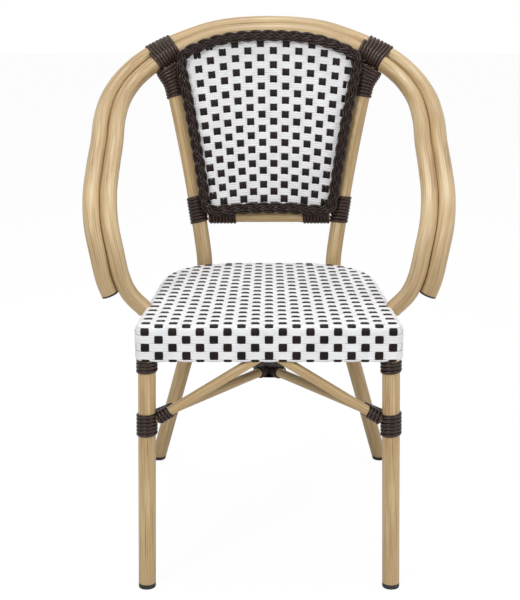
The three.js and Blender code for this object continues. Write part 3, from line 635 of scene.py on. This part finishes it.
# Lashings are flat strands wound tight. legTop and legBrace are heights on the leg, and the
# other starts are measured from the joint that is covered.
strand = {
    "width": 0.0063, "thickness": 0.0024, "pitch": 0.0062, "tilt": math.radians(5),
    "sway": 0.00022, "turnSteps": 32, "squareness": 3,
}
lashing = {
    "legTop": 0.3765, "legTopTurns": 3.5, "legBrace": 0.27, "legBraceTurns": 6,
    "braceStart": 0.0205, "braceTurns": 4, "stretcherStart": 0.0221, "stretcherTurns": 7,
    "lowDrop": 0.011, "lowRise": 0.035, "lowTurns": 8, "railStart": 0.0200, "railTurns": 8.2,
    "topTurns": 8, "topStart": 0.01936, "topEnd": 0.0165, "topShift": 0.0022,
    "topSpread": 0.0068, "widenFrom": 0.3, "fanPower": 1.4,
    "hoopTurns": 7.5, "hoopSpan": 7 * 0.0066, "hoopSteps": 48, "hoopGap": 0.0015,
    "crossTurns": 7, "crossSteps": 40, "crossGap": 0.0017, "armStart": 0.007, "armTurns": 4,
}


def strandSection():
    half, deep = strand["width"] / 2, strand["thickness"] / 2
    flat = np.array(((half, -0.6 * deep), (0.9 * half, 0.3 * deep), (0.52 * half, 1.05 * deep),
                     (0, 1.35 * deep), (-0.52 * half, 1.05 * deep), (-0.9 * half, 0.3 * deep),
                     (-half, -0.6 * deep), (0, -deep)))
    return leanSection(flat, strand["tilt"])


def wind(name, turns, steps, frameAt):
    count = int(turns * steps)
    route, outward = [], []
    sway = dice.normal(0, strand["sway"], int(turns) + 3)
    for i in range(count + 1):
        share = i / count
        centre, axis, wide, high, radius, spread, slope = frameAt(share)
        angle = math.pi / 2 + 2 * math.pi * i / steps
        lengthened = min(max(math.cos(angle) * strand["squareness"], -1), 1)
        aside = radius * math.cos(angle) + spread * lengthened
        wobble = float(np.interp(i / steps, np.arange(len(sway)), sway))
        route.append(centre + wide * aside + high * radius * math.sin(angle)
                     + axis * (wobble + slope * aside))
        outward.append(wide * math.cos(angle) + high * math.sin(angle))
    rings = sectionRings(route, outward, strandSection())
    return finished(layHose(name, rings), darkStrand, [cadName(name)], 60)


def windRound(name, start, ahead, radius, turns, fan=0, flare=(0, 0)):
    wide = unit(np.cross((0, 1, 0), ahead))
    high = np.cross(ahead, wide)
    middle = radius + layout["touchGap"] + strand["thickness"] / 2
    length = turns * strand["pitch"]

    def frameAt(share):
        widening = float(smoothStep((share - lashing["widenFrom"]) / (1 - lashing["widenFrom"])))
        centre = start + ahead * share * length + wide * flare[0] * widening
        return (centre, ahead, wide, high, middle, flare[1] * widening,
                fan * share ** lashing["fanPower"])

    return wind(name, turns, strand["turnSteps"], frameAt)


for side, word in ((-1, "left"), (1, "right")):
    up = unit(legPoint(side, 0.4) - legPoint(side, 0.1))
    windRound(f"legTopLashing.{word}", legPoint(side, lashing["legTop"]), up, tubes["radius"],
              lashing["legTopTurns"])
    windRound(f"legBraceLashing.{word}", legPoint(side, lashing["legBrace"]), up,
              tubes["radius"], lashing["legBraceTurns"])
    foot = legPoint(side, bracing["braceFoot"])
    ahead = unit(braceTop - foot)
    windRound(f"braceLashing.{word}", foot + ahead * lashing["braceStart"], ahead,
              tubes["braceRadius"], lashing["braceTurns"])
    front = frontEnds[0 if side < 0 else 1]
    ahead = unit(crossing - front)
    windRound(f"stretcherLashing.{word}", front + ahead * lashing["stretcherStart"], ahead,
              tubes["braceRadius"], lashing["stretcherTurns"])
    low = uprightPoint(side, crossRail["height"] - lashing["lowDrop"])
    lowAhead = unit(uprightPoint(side, crossRail["height"] + lashing["lowRise"]) - low)
    windRound(f"uprightLowLashing.{word}", low, lowAhead, tubes["radius"],
              lashing["lowTurns"])
    inward = point(-side, 0, 0)
    railStart = railEnds[0 if side < 0 else 1] + inward * lashing["railStart"]
    windRound(f"crossRailLashing.{word}", railStart, inward, tubes["railRadius"],
              lashing["railTurns"])

    # the lashing at the upright's top leans and widens towards the hoop
    route = uprightRoute(side)
    down = unit(route[-2] - route[-1])
    middle = side * legs["middleShare"]
    along = hoopAlong(middle)
    lean = math.acos(abs(float(down @ along)))
    topClear = lashing["topStart"] * (1 + math.cos(lean)) / math.sin(lean)
    topLength = topClear + lashing["topTurns"] * strand["pitch"]
    top = uprightPoint(side, route[-1][2] + down[2] * topLength)
    topAhead = unit(route[-1] - top)
    topTurns = ((np.linalg.norm(route[-1] - top) - lashing["topEnd"] / math.sin(lean))
                / strand["pitch"])
    wide = unit(np.cross((0, 1, 0), topAhead))
    fan = float(along @ topAhead) / float(along @ wide)
    windRound(f"uprightTopLashing.{word}", top, topAhead, tubes["radius"], topTurns, fan,
              (side * lashing["topShift"], lashing["topSpread"]))

    shareStep = 1 / hoop["halfSteps"]
    stepLength = np.linalg.norm(hoopPoint(middle + shareStep) - hoopPoint(middle - shareStep)) / 2
    reach = lashing["hoopSpan"] / stepLength * shareStep

    def pairFrame(share, middle=middle, reach=reach):
        at = middle + (share - 0.5) * reach
        axis, wide = hoopAlong(at), pairDirection(at)
        centre = hoopPoint(at) + wide * pairDistance / 2
        return (centre, axis, wide, np.cross(axis, wide),
                tubes["radius"] + lashing["hoopGap"], pairDistance / 2, 0)

    wind(f"hoopLashing.{word}", lashing["hoopTurns"], lashing["hoopSteps"], pairFrame)


def crossingFrame(share):
    along = (share - 0.5) * lashing["crossTurns"] * strand["pitch"]
    spread = (abs(along) + strand["pitch"]) * abs(throughAhead[0] / throughAhead[1])
    return (crossing + point(0, along, 0), point(0, 1, 0), point(-1, 0, 0), point(0, 0, 1),
            tubes["braceRadius"] + lashing["crossGap"], spread, 0)


crossed = [wind("crossingLashing", lashing["crossTurns"], lashing["crossSteps"], crossingFrame)]
for toward in (-throughAhead, throughAhead, -otherAhead, otherAhead):
    crossed.append(windRound("crossingLashing", crossing + toward * lashing["armStart"], toward,
                             tubes["braceRadius"], lashing["armTurns"]))
joinAs("crossingLashing", crossed)
print("lashings wound")

# The seat has dark warp bands from back to front and white weft rows from side to side.
# Belts run round its walls. The "half" values are half the length of each crossing.
weave = {
    "bands": 19, "warpPitch": 0.0217, "fan": 0.137, "warpSplit": 0.0033, "warpWidth": 0.0069,
    "warpLean": math.radians(7), "warpRise": 0.0010, "warpDip": 0.0009, "warpHalf": 0.0022,
    "warpSteps": 198, "warpEdgeSteps": 32, "warpReach": 0.082,
    "rows": 33, "rowPitch": 0.01283, "secondRow": 0.0084, "weftSplit": 0.00428,
    "weftWidth": 0.00438, "weftRise": 0.0007, "weftHalf": 0.0045, "weftBeltHalf": 0.0025,
    "weftMargin": 0.010, "weftSteps": 112, "weftEdgeSteps": 23, "weftReach": 0.075,
    "beltWidth": 0.0045, "topBeltWidth": 0.00387, "beltOverWarp": 0.0049,
    "beltOverWeft": 0.0026, "beltSteps": 560, "beltLap": 1.004,
    "thickness": 0.0014, "turn": 0.0042, "wallEnd": 0.001, "tuckDepth": 0.0007,
    "tuckReach": 0.003, "squareEnough": 0.8, "leastSquare": 0.35, "rearFrom": 0.02,
    "beltMiddles": [0.0064, 0.0160, 0.02845, 0.04165, 0.0548, 0.0665],
    "beltRows": [(0.0046, 0.0082), (0.0120, 0.0160, 0.0200), (0.0241, 0.02845, 0.0328),
                 (0.0372, 0.04165, 0.0461), (0.0505, 0.0548, 0.0591), (0.0634, 0.0674)],
}
shoulderArc = (seat["shoulder"] - seat["skin"]) * math.pi / 2
wallDrop = seat["apron"] - weave["wallEnd"] - weave["turn"]
wallRun = shoulderArc + wallDrop - seat["shoulder"]


def edgeSpots(over):  # inset from the outline, drop below the top and tilt, a way over the edge
    over = np.asarray(over, float)
    bend = seat["shoulder"] - seat["skin"]
    tilt = np.clip(over / bend, 0, math.pi / 2)
    inset = seat["shoulder"] - bend * np.sin(tilt)
    drop = seat["shoulder"] - bend * np.cos(tilt)
    drop = drop + np.clip(over - shoulderArc, 0, wallRun - shoulderArc)
    curl = np.clip((over - wallRun) / weave["turn"], 0, math.pi / 2)
    inset = inset + weave["turn"] * (1 - np.cos(curl))
    drop = drop + weave["turn"] * np.sin(curl)
    inset = inset + np.clip(over - wallRun - weave["turn"] * math.pi / 2, 0, None)
    return inset, drop, tilt + curl


def overAndUnder(run, knots):  # -1 under to 1 over, along a run, at knots of place, half and sign
    knots = sorted(knots)
    places, signs = [], []
    for place, half, sign in knots:
        places += [place - half, place + half]
        signs += [sign, sign]
    level = np.interp(run, np.maximum.accumulate(places), signs)
    return level * (1.5 - 0.5 * level ** 2)


def rowPlace(row):  # rows count down from -1 at the front to the rear
    return weave["secondRow"] - (row + 2) * weave["rowPitch"]


def bandPlace(band, y):
    lean = 1 - weave["fan"] * (y + seat["overhang"]) / seat["depth"]
    return (band - weave["bands"] // 2) * weave["warpPitch"] * lean


# the stretches of the right half that bands and rows meet
rearHalf = rightHalf[rightHalf[:, 1] > weave["rearFrom"]][::-1]
frontHalf = rightHalf[:outlineSteps["pastCorner"]]
flankHalf = rightHalf[outlineSteps["front"] - 1:-outlineSteps["tail"]]


def meetsAtSlant(place, heading):  # such a strand ends at the edge, tucked under the belts
    _, out = ringPlace(runNear(*place))
    return float(heading @ out) < weave["squareEnough"]


def edgeAhead(place, heading, tucked, steps, reach):  # over the edge at a place in plan
    _, out = ringPlace(runNear(*place))
    square = max(float(heading @ out), weave["leastSquare"])
    end = shoulderArc + weave["tuckReach"] if tucked else reach
    inset, drop, tilt = edgeSpots(np.linspace(0, end, steps))
    slide = np.where(inset > seat["skin"] + 1e-6, inset / square, inset)
    early = tilt < math.pi / 2 - 1e-3
    plan = np.where(early[:, None], place - heading * slide[:, None], place - out * inset[:, None])
    z = seatTop(plan[:, 1]) - drop
    spots = np.stack([plan[:, 0], plan[:, 1], z], axis=1)
    facing = np.stack([out[0] * np.sin(tilt), out[1] * np.sin(tilt), np.cos(tilt)], axis=1)
    return spots, facing


def throughEdges(rear, front, tucks, steps, edgeSteps, reach):
    ahead = unit(front - rear)
    back, backFace = edgeAhead(rear, -ahead, tucks[0], edgeSteps, reach)
    fore, foreFace = edgeAhead(front, ahead, tucks[1], edgeSteps, reach)
    t = np.linspace(0, 1, steps + 2)[1:-1, None]
    top = mixed(back[0], fore[0], t)
    top[:, 2] = seatTop(top[:, 1]) - seat["skin"]
    up = np.tile((0.0, 0.0, 1.0), (steps, 1))
    spots = np.concatenate([back[::-1], top, fore])
    facing = np.concatenate([backFace[::-1], up, foreFace])
    run = runAlong(spots)
    starts = run[edgeSteps - 1], run[edgeSteps + steps]
    return spots, facing, run, starts


def edgeKnots(starts, parity, half):  # where a strand passes the belts on both walls
    knots = []
    for belt, middle in enumerate(weave["beltMiddles"]):
        sign = 1 if (parity + belt) % 2 else -1
        knots += [(starts[0] - middle, half, sign), (starts[1] + middle, half, sign)]
    return knots


def layStrand(name, spots, facing, lift, section, tuck=(False, False), edgeSteps=0):
    under = np.full(edgeSteps, -weave["tuckDepth"])
    if tuck[0]:
        lift = np.concatenate([under, lift[edgeSteps:]])
    if tuck[1]:
        lift = np.concatenate([lift[:-edgeSteps], under])
    rings = sectionRings(spots + facing * lift[:, None], facing, section)
    return layHose(name, rings)


def bandEnds(band, shift):  # where a strand of a band meets the seat's outline, rear and front
    gapRear = rearHalf[:, 0] - abs(bandPlace(band, rearHalf[:, 1]) + shift)
    i = int(np.argmax(gapRear > 0))
    side = math.copysign(1, bandPlace(band, 0) + shift)
    rear = mixed(rearHalf[i - 1], rearHalf[i], -gapRear[i - 1] / (gapRear[i] - gapRear[i - 1]))
    frontX = bandPlace(band, -seat["overhang"]) + shift
    return (rear * (side, 1),
            np.array((frontX, np.interp(abs(frontX), frontHalf[:, 0], frontHalf[:, 1]))))


def beltCrossings(stops, half, belt):  # knots of a belt, on its lap and where it laps over
    return [(spot + lap, half, -1 if (index + belt) % 2 else 1)
            for spot, index in stops for lap in (0, ringLength)]


warpCrossings, warpParts = [], []
edgeSteps = weave["warpEdgeSteps"]
top = slice(edgeSteps, -edgeSteps)
for band in range(weave["bands"]):
    rear, front = bandEnds(band, 1e-6)
    tucks = (meetsAtSlant(rear, unit(rear - front)), False)
    for part in (-1, 1):
        shift = part * weave["warpSplit"]
        rear, front = bandEnds(band, shift)
        spots, facing, run, starts = throughEdges(rear, front, tucks, weave["warpSteps"],
                                                  edgeSteps, weave["warpReach"])
        topY, topRun = spots[top, 1][::-1], run[top][::-1]
        knots = edgeKnots(starts, band, weave["warpHalf"])
        for row in range(-weave["rows"], 0):
            if topY[0] < rowPlace(row) < topY[-1]:
                knots.append((float(np.interp(rowPlace(row), topY, topRun)), weave["warpHalf"],
                              1 if (band + row) % 2 else -1))
        level = overAndUnder(run, knots)
        lift = np.where(level > 0, level * weave["warpRise"], level * weave["warpDip"])
        section = leanSection(flatSection(weave["warpWidth"], weave["thickness"]),
                              part * weave["warpLean"])
        warpParts.append(layStrand("warp", spots, facing, lift, section, tucks, edgeSteps))
        if part == 1:
            middle = bandPlace(band, -seat["overhang"])
            warpCrossings.append((runNear(middle, -seat["overhang"]), band))
            if not tucks[0]:
                warpCrossings.append((runNear(rear[0] - shift, rear[1]), band))
finished(joinAs("seatWarp", warpParts), darkWarp, [])

weftCrossings, weftParts = [], []
edgeSteps = weave["weftEdgeSteps"]
top = slice(edgeSteps, -edgeSteps)
for row in range(-weave["rows"], 0):
    x = float(np.interp(rowPlace(row), flankHalf[:, 1], flankHalf[:, 0]))
    tucks = (meetsAtSlant((x, rowPlace(row)), np.array((1.0, 0))),) * 2
    for part in (-1, 0, 1):
        y = rowPlace(row) + part * weave["weftSplit"]
        x = float(np.interp(y, flankHalf[:, 1], flankHalf[:, 0]))
        spots, facing, run, starts = throughEdges(
            np.array((-x, y)), np.array((x, y)), tucks, weave["weftSteps"], edgeSteps,
            weave["weftReach"])
        knots = edgeKnots(starts, row + 1, weave["weftBeltHalf"])
        for band in range(weave["bands"]):
            place = bandPlace(band, y)
            if abs(place) < x - weave["weftMargin"]:
                knots.append((float(np.interp(place, spots[top, 0], run[top])),
                              weave["weftHalf"], -1 if (band + row) % 2 else 1))
        lift = overAndUnder(run, knots) * weave["weftRise"]
        section = flatSection(weave["weftWidth"], weave["thickness"])
        weftParts.append(layStrand("weft", spots, facing, lift, section, tucks, edgeSteps))
        if part == 0 and not tucks[0]:
            weftCrossings += [(runNear(x, y), row + 1), (runNear(-x, y), row + 1)]
finished(joinAs("seatWeft", weftParts), whiteStrand, ["seat_weave"])

beltParts = []
run = np.linspace(0, ringLength * weave["beltLap"], weave["beltSteps"]) + ringLength / 2
place, out = ringPlace(run)
for belt, rows in enumerate(weave["beltRows"]):
    knots = (beltCrossings(warpCrossings, weave["beltOverWarp"], belt)
             + beltCrossings(weftCrossings, weave["beltOverWeft"], belt))
    lift = overAndUnder(run, knots) * weave["weftRise"]
    section = flatSection(weave["topBeltWidth" if belt == 0 else "beltWidth"], weave["thickness"])
    for over in rows:
        inset, drop, tilt = (float(v) for v in edgeSpots(over))
        plan = place - out * inset
        spots = np.stack([plan[:, 0], plan[:, 1], seatTop(plan[:, 1]) - drop], axis=1)
        facing = np.stack([out[:, 0] * math.sin(tilt), out[:, 1] * math.sin(tilt),
                           np.full(len(out), math.cos(tilt))], axis=1)
        beltParts.append(layStrand("belt", spots, facing, lift, section))
finished(joinAs("seatBelts", beltParts), whiteStrand, [])
print("seat woven")

# The back panel is laid out flat, as x and rise, and stood up along the uprights.
panel = {
    "braidWidth": 0.02, "rodInset": 0.005, "rodDiameter": 0.01, "rodBack": 0.01175,
    "rodRise": 0.005, "rodGap": 0.0006, "rodStep": 0.006, "rodSides": 16,
    "corner": 0.024, "sideGap": 0.001, "topReach": 0.003,
    "cornerShare": 0.1714, "shoulderShare": 0.4, "lowRise": 0.033, "riseSpan": 0.286,
    "widerLow": 0.0045, "narrowerHigh": 0.003, "arch": 0.007, "topPoints": 17,
    "sidePoints": 12, "sideFrom": 0.15, "cornerPoints": 9, "lowPoints": 13,
}
waistPoint, hoopMeeting = uprightCorners(1)[1:]
rake = math.atan2(hoopMeeting[1] - waistPoint[1], hoopMeeting[2] - waistPoint[2])
panelOrigin = (railEnds[0] + railEnds[1]) / 2
panelUp = point(0, math.sin(rake), math.cos(rake))
panelFace = point(0, -math.cos(rake), math.sin(rake))
rodFront = panel["rodBack"] + panel["rodDiameter"]


def onPanel(x, rise, out):
    x, rise, out = np.broadcast_arrays(x, rise, out)
    return (panelOrigin + np.outer(x, (1, 0, 0)) + np.outer(rise, panelUp)
            + np.outer(out, panelFace))


def riseShare(rise):  # 0 low in the panel, 1 high in it
    return (rise - panel["lowRise"]) / panel["riseSpan"]


def panelHalfWidth(rise):
    height = crossRail["height"] + rise * math.cos(rake)
    drawnIn = mixed(-panel["widerLow"], panel["narrowerHigh"], riseShare(rise))
    return uprightPoint(1, height)[0] - tubes["radius"] - panel["sideGap"] - drawnIn


def panelOutline(inset):
    top = []
    for share in np.linspace(1, -1, panel["topPoints"]) * panel["cornerShare"]:
        spot = hoopPoint(share)
        rise = (spot[2] - crossRail["height"]) / math.cos(rake) + panel["topReach"]
        top.append((spot[0], rise - inset))
    upper = top[0]
    cornerRise = panel["rodRise"] - panel["rodInset"] + panel["corner"]
    cornerOut = panelHalfWidth(cornerRise) - panel["corner"]
    right = [(cornerOut + (panel["corner"] - inset) * math.cos(a),
              cornerRise + (panel["corner"] - inset) * math.sin(a))
             for a in np.linspace(-math.pi / 2, 0, panel["cornerPoints"])]
    shoulder = upper[1] - panel["corner"] + inset * panel["shoulderShare"]
    for share in np.linspace(panel["sideFrom"], 1, panel["sidePoints"]):
        rise = mixed(cornerRise, shoulder, share)
        right.append((panelHalfWidth(rise) - inset, rise))
    arch = [(x - inset * x / upper[0], rise) for x, rise in top]
    left = [(-x, rise) for x, rise in right[::-1]]
    low = [(x * cornerOut, right[0][1] + panel["arch"] * (1 - x * x))
           for x in np.linspace(-1, 1, panel["lowPoints"])[1:-1]]
    return np.array(right + arch + left + low)


def insideOf(outline, spots):
    inside = np.zeros(len(spots), bool)
    for (ax, ay), (bx, by) in zip(outline, np.roll(outline, -1, axis=0)):
        if ay == by:
            continue
        crosses = (ay > spots[:, 1]) != (by > spots[:, 1])
        inside ^= crosses & (spots[:, 0] < (bx - ax) * (spots[:, 1] - ay) / (by - ay) + ax)
    return inside


backRows = {
    "count": 24, "first": 0.319, "pitch": 0.01295, "droop": 0.0083, "reach": (-0.18, 0.18),
    "split": 0.00431, "width": 0.0044, "steps": 96, "half": 0.0044, "margin": 0.008,
    "lift": 0.00072,
}
backBands = {
    "count": 13, "middle": 5.5, "pitchLow": 0.0188, "pitchHigh": 0.0238, "shift": -0.004,
    "reach": (-0.01, 0.35), "split": 0.0032, "width": 0.0066, "lean": math.radians(6),
    "steps": 150, "half": 0.0026, "margin": 0.006, "lift": 0.0009,
}
backStrand = {
    "thickness": 0.0013, "samples": 3601,
    "hook": [(0.0015, -0.0035), (0.0035, -0.0056), (0.0055, -0.006), (0.0075, -0.0058)],
}
hookSteps = len(backStrand["hook"])


def bandPitch(rise):
    return mixed(backBands["pitchLow"], backBands["pitchHigh"], riseShare(rise))


def panelBand(band, rise):
    return (band - backBands["middle"]) * bandPitch(rise) + backBands["shift"] * riseShare(rise)


def panelRow(row, x):
    rise = backRows["first"] - row * backRows["pitch"]
    edge = backBands["middle"] * bandPitch(rise)
    return rise - backRows["droop"] * (x / edge) ** 2


def crossedBands(row, rise):  # where a row meets the bands, with 1 where it passes over
    return [(panelBand(band, rise), 1 if (band + row) % 2 == 0 else -1)
            for band in range(-1, backBands["count"] + 1)]


def crossedRows(band, x):
    return [(panelRow(row, x), -1 if (band + row) % 2 == 0 else 1)
            for row in range(-1, backRows["count"] + 1)]


rodInner = panelOutline(panel["rodInset"] + panel["rodDiameter"] + panel["rodGap"])
weaveOut = panel["rodBack"] + panel["rodDiameter"] / 2


def acrossPanel(flat, steps):  # the stretch inside the rod, then round behind the rod at both ends
    inside = np.flatnonzero(insideOf(rodInner, flat))
    stretch = flat[inside[0]:inside[-1] + 1]
    keep = np.linspace(0, len(stretch) - 1, steps).round().astype(int)
    stretch = stretch[keep]
    ends = []
    for tip, inner in ((stretch[0], stretch[1]), (stretch[-1], stretch[-2])):
        ahead = (tip - inner) / np.linalg.norm(tip - inner)
        ends.append([(tip + ahead * along, out) for along, out in backStrand["hook"]])
    outs = [o for _, o in ends[0][::-1]] + [0] * steps + [o for _, o in ends[1]]
    spots = np.array([p for p, _ in ends[0][::-1]] + list(stretch) + [p for p, _ in ends[1]])
    route = onPanel(spots[:, 0], spots[:, 1], weaveOut + np.array(outs))
    return route, spots


def faceOf(route):  # the panel's outward direction, square to the route
    ahead = np.gradient(route, axis=0)
    facing = np.tile(panelFace, (len(route), 1))
    along = (facing * ahead).sum(axis=1)[:, None]
    return facing - ahead * along / (ahead ** 2).sum(axis=1)[:, None]


def layAcross(name, flat, kind, axis, crossed, index, section):  # a row's or band's strand
    route, spots = acrossPanel(flat, kind["steps"])
    run = runAlong(route)
    line = spots[:, axis]
    low, high = line[hookSteps] - kind["margin"], line[-hookSteps - 1] + kind["margin"]
    knots = [(float(np.interp(place, line, run)), kind["half"], sign)
             for place, sign in crossed(index, float(np.mean(spots[:, 1 - axis])))
             if low < place < high]
    lift = overAndUnder(run, knots) * kind["lift"]
    return layStrand(name, route, faceOf(route), lift, section)


rodLoop = panelOutline(panel["rodInset"] + panel["rodDiameter"] / 2)
rodLoop = np.concatenate([rodLoop, rodLoop[:2]])
rodRoute = evenSteps(onPanel(rodLoop[:, 0], rodLoop[:, 1], weaveOut), panel["rodStep"])
rodRings = sectionRings(rodRoute, np.tile(panelFace, (len(rodRoute), 1)),
                        roundSection(panel["rodDiameter"] / 2, panel["rodSides"]))
finished(layHose("backRod", rodRings), bareAluminium, ["back_frame_rod"], 60)

backWeft = []
x = np.linspace(*backRows["reach"], backStrand["samples"])
section = flatSection(backRows["width"], backStrand["thickness"])
for row in range(backRows["count"]):
    for part in (-1, 0, 1):
        flat = np.stack([x, panelRow(row, x) + part * backRows["split"]], axis=1)
        if insideOf(rodInner, flat).any():
            backWeft.append(layAcross("backWeft", flat, backRows, 0, crossedBands, row, section))
finished(joinAs("backWeft", backWeft), whiteStrand, ["back_weave"])

backWarp = []
rise = np.linspace(*backBands["reach"], backStrand["samples"])
for band in range(backBands["count"]):
    for part in (-1, 1):
        flat = np.stack([panelBand(band, rise) + part * backBands["split"], rise], axis=1)
        section = leanSection(flatSection(backBands["width"], backStrand["thickness"]),
                              part * backBands["lean"])
        backWarp.append(layAcross("backWarp", flat, backBands, 1, crossedRows, band, section))
finished(joinAs("backWarp", backWarp), darkWarp, [])
print("back woven")

# The plait round the back panel has three legs of two strands each.
plait = {
    "swing": 0.0060, "rise": 0.0024, "split": 0.00225, "width": 0.0046, "thickness": 0.0037,
    "turns": 16, "steps": 52, "clear": 0.0040, "wider": 1.021, "topDrop": 0.0030,
    "dropFrom": 0.22, "dropOver": 0.07, "rounding": 60, "sides": 8,
}


def plaitLoop(count):  # the middle of the edge, its corners rounded, once around
    outline = panelOutline(panel["braidWidth"] / 2)
    closed = np.concatenate([outline, outline[:1]])
    run = runAlong(closed)
    at = np.linspace(0, run[-1], count, endpoint=False)
    loop = np.stack([np.interp(at, run, closed[:, i]) for i in (0, 1)], axis=1)
    for _ in range(plait["rounding"]):
        loop = 0.5 * loop + 0.25 * (np.roll(loop, 1, axis=0) + np.roll(loop, -1, axis=0))
    drop = plait["topDrop"] * smoothStep((loop[:, 1] - plait["dropFrom"]) / plait["dropOver"])
    return np.stack([loop[:, 0] * plait["wider"], loop[:, 1] - drop], axis=1)


count = plait["turns"] * plait["steps"]
loop = plaitLoop(count)
plaitOut = rodFront + layout["touchGap"] + plait["clear"]
section = roundSection(1, plait["sides"]) * (plait["width"] / 2, plait["thickness"] / 2)
plaitParts = []
for leg in range(3):
    phase = 2 * math.pi * np.arange(count) / plait["steps"] + leg * 2 * math.pi / 3
    swing = plait["swing"] * np.sin(phase)
    spots = loop + loopSides(loop) * swing[:, None]
    height = plaitOut + plait["rise"] * np.sin(2 * phase)
    height = np.concatenate([height, height[:2]])
    for part in (-1, 1):
        flat = spots + loopSides(spots) * part * plait["split"]
        flat = np.concatenate([flat, flat[:2]])
        route = onPanel(flat[:, 0], flat[:, 1], height)
        facing = np.tile(panelFace, (len(route), 1))
        plaitParts.append(layHose("plait", sectionRings(route, facing, section)))
finished(joinAs("backPlait", plaitParts), plaitStrand, ["back_braid"])
print("edge plaited")

# glides, plugs and the seat's rails keep their CAD form
for node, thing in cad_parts.items():
    moulded = "glide" in node or "plug" in node
    if moulded or ("seat_" in node and "weave" not in node):
        thing.data.materials.clear()
        thing.data.materials.append(blackPlastic if moulded else bareAluminium)
print("moulded parts and rails finished")

studio = {
    "cameraPlace": (0, -2.32355, 1.056), "tipDown": 0.268, "lens": 36 * 1347 / 600,
    "shift": -0.015, "floorRadius": 9, "floorGlow": 1.04, "floorSeen": 0.9, "air": 0.38,
    "lampAim": (0, 0, 0.5),
    "lamps": [("keyLamp", (-1.5, -2.4, 2.3), 0.9, 36.5), ("fillLamp", (1.9, -1.7, 1.5), 1.2, 18),
              ("topLamp", (0.1, 0.1, 2.9), 1.1, 28)],
}
bpy.ops.mesh.primitive_circle_add(vertices=64, radius=studio["floorRadius"], fill_type="NGON",
                                  location=(0, 1, 0))
floor = bpy.context.object
floor.name = "floor"
floorLook = newMaterial("floorLook")
rays = addNode(floorLook, "ShaderNodeLightPath")
glow = addNode(floorLook, "ShaderNodeEmission", Color=grey(1), Strength=studio["floorGlow"])
mixer = addNode(floorLook, "ShaderNodeMixShader")
amount = addNode(floorLook, "ShaderNodeMath", operation="MULTIPLY")
amount.inputs[1].default_value = studio["floorSeen"]
wire(floorLook, rays.outputs["Is Camera Ray"], amount.inputs[0])
wire(floorLook, amount.outputs[0], mixer.inputs[0])
wire(floorLook, floorLook.node_tree.nodes["Principled BSDF"].outputs[0], mixer.inputs[1])
wire(floorLook, glow.outputs[0], mixer.inputs[2])
wire(floorLook, mixer.outputs[0], floorLook.node_tree.nodes["Material Output"].inputs["Surface"])
shaderInputs(floorLook)["Base Color"].default_value = grey(0.9)
shaderInputs(floorLook)["Roughness"].default_value = 0.9
floor.data.materials.append(floorLook)
floor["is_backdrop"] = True

# white to the camera, to gloss and through glass, dimmer as a light
air = bpy.data.worlds.new("studioAir")
bpy.context.scene.world = air
air.use_nodes = True
rays = addNode(air, "ShaderNodeLightPath")
seen = addNode(air, "ShaderNodeMath", operation="MAXIMUM")
seenToo = addNode(air, "ShaderNodeMath", operation="MAXIMUM")
wire(air, rays.outputs["Is Camera Ray"], seen.inputs[0])
wire(air, rays.outputs["Is Transmission Ray"], seen.inputs[1])
wire(air, seen.outputs[0], seenToo.inputs[0])
wire(air, rays.outputs["Is Glossy Ray"], seenToo.inputs[1])
strength = addNode(air, "ShaderNodeMapRange")
strength.inputs["To Min"].default_value = studio["air"]
strength.inputs["To Max"].default_value = 1.0
wire(air, seenToo.outputs[0], strength.inputs["Value"])
sky = air.node_tree.nodes["Background"].inputs
wire(air, strength.outputs[0], sky["Strength"])
sky["Color"].default_value = grey(1)

for name, place, size, power in studio["lamps"]:
    lamp = bpy.data.lights.new(name, "AREA")
    lamp.size, lamp.energy = size, power
    lampObject = bpy.data.objects.new(name, lamp)
    lampObject.location = place
    aim = Vector(studio["lampAim"]) - Vector(place)
    lampObject.rotation_euler = aim.to_track_quat("-Z", "Y").to_euler()
    bpy.context.collection.objects.link(lampObject)

camera = bpy.data.cameras.new("photoCamera")
camera.sensor_width = camera.sensor_height = 36
camera.sensor_fit = "AUTO"
camera.lens = studio["lens"]
camera.shift_x = studio["shift"]
cameraObject = bpy.data.objects.new("photoCamera", camera)
cameraObject.location = studio["cameraPlace"]
cameraObject.rotation_euler = (math.pi / 2 - studio["tipDown"], 0, 0)
bpy.context.collection.objects.link(cameraObject)
bpy.context.scene.camera = cameraObject
bpy.context.scene.view_settings.view_transform = "Standard"
print("stage set")

bpy.context.view_layer.update()
low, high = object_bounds()
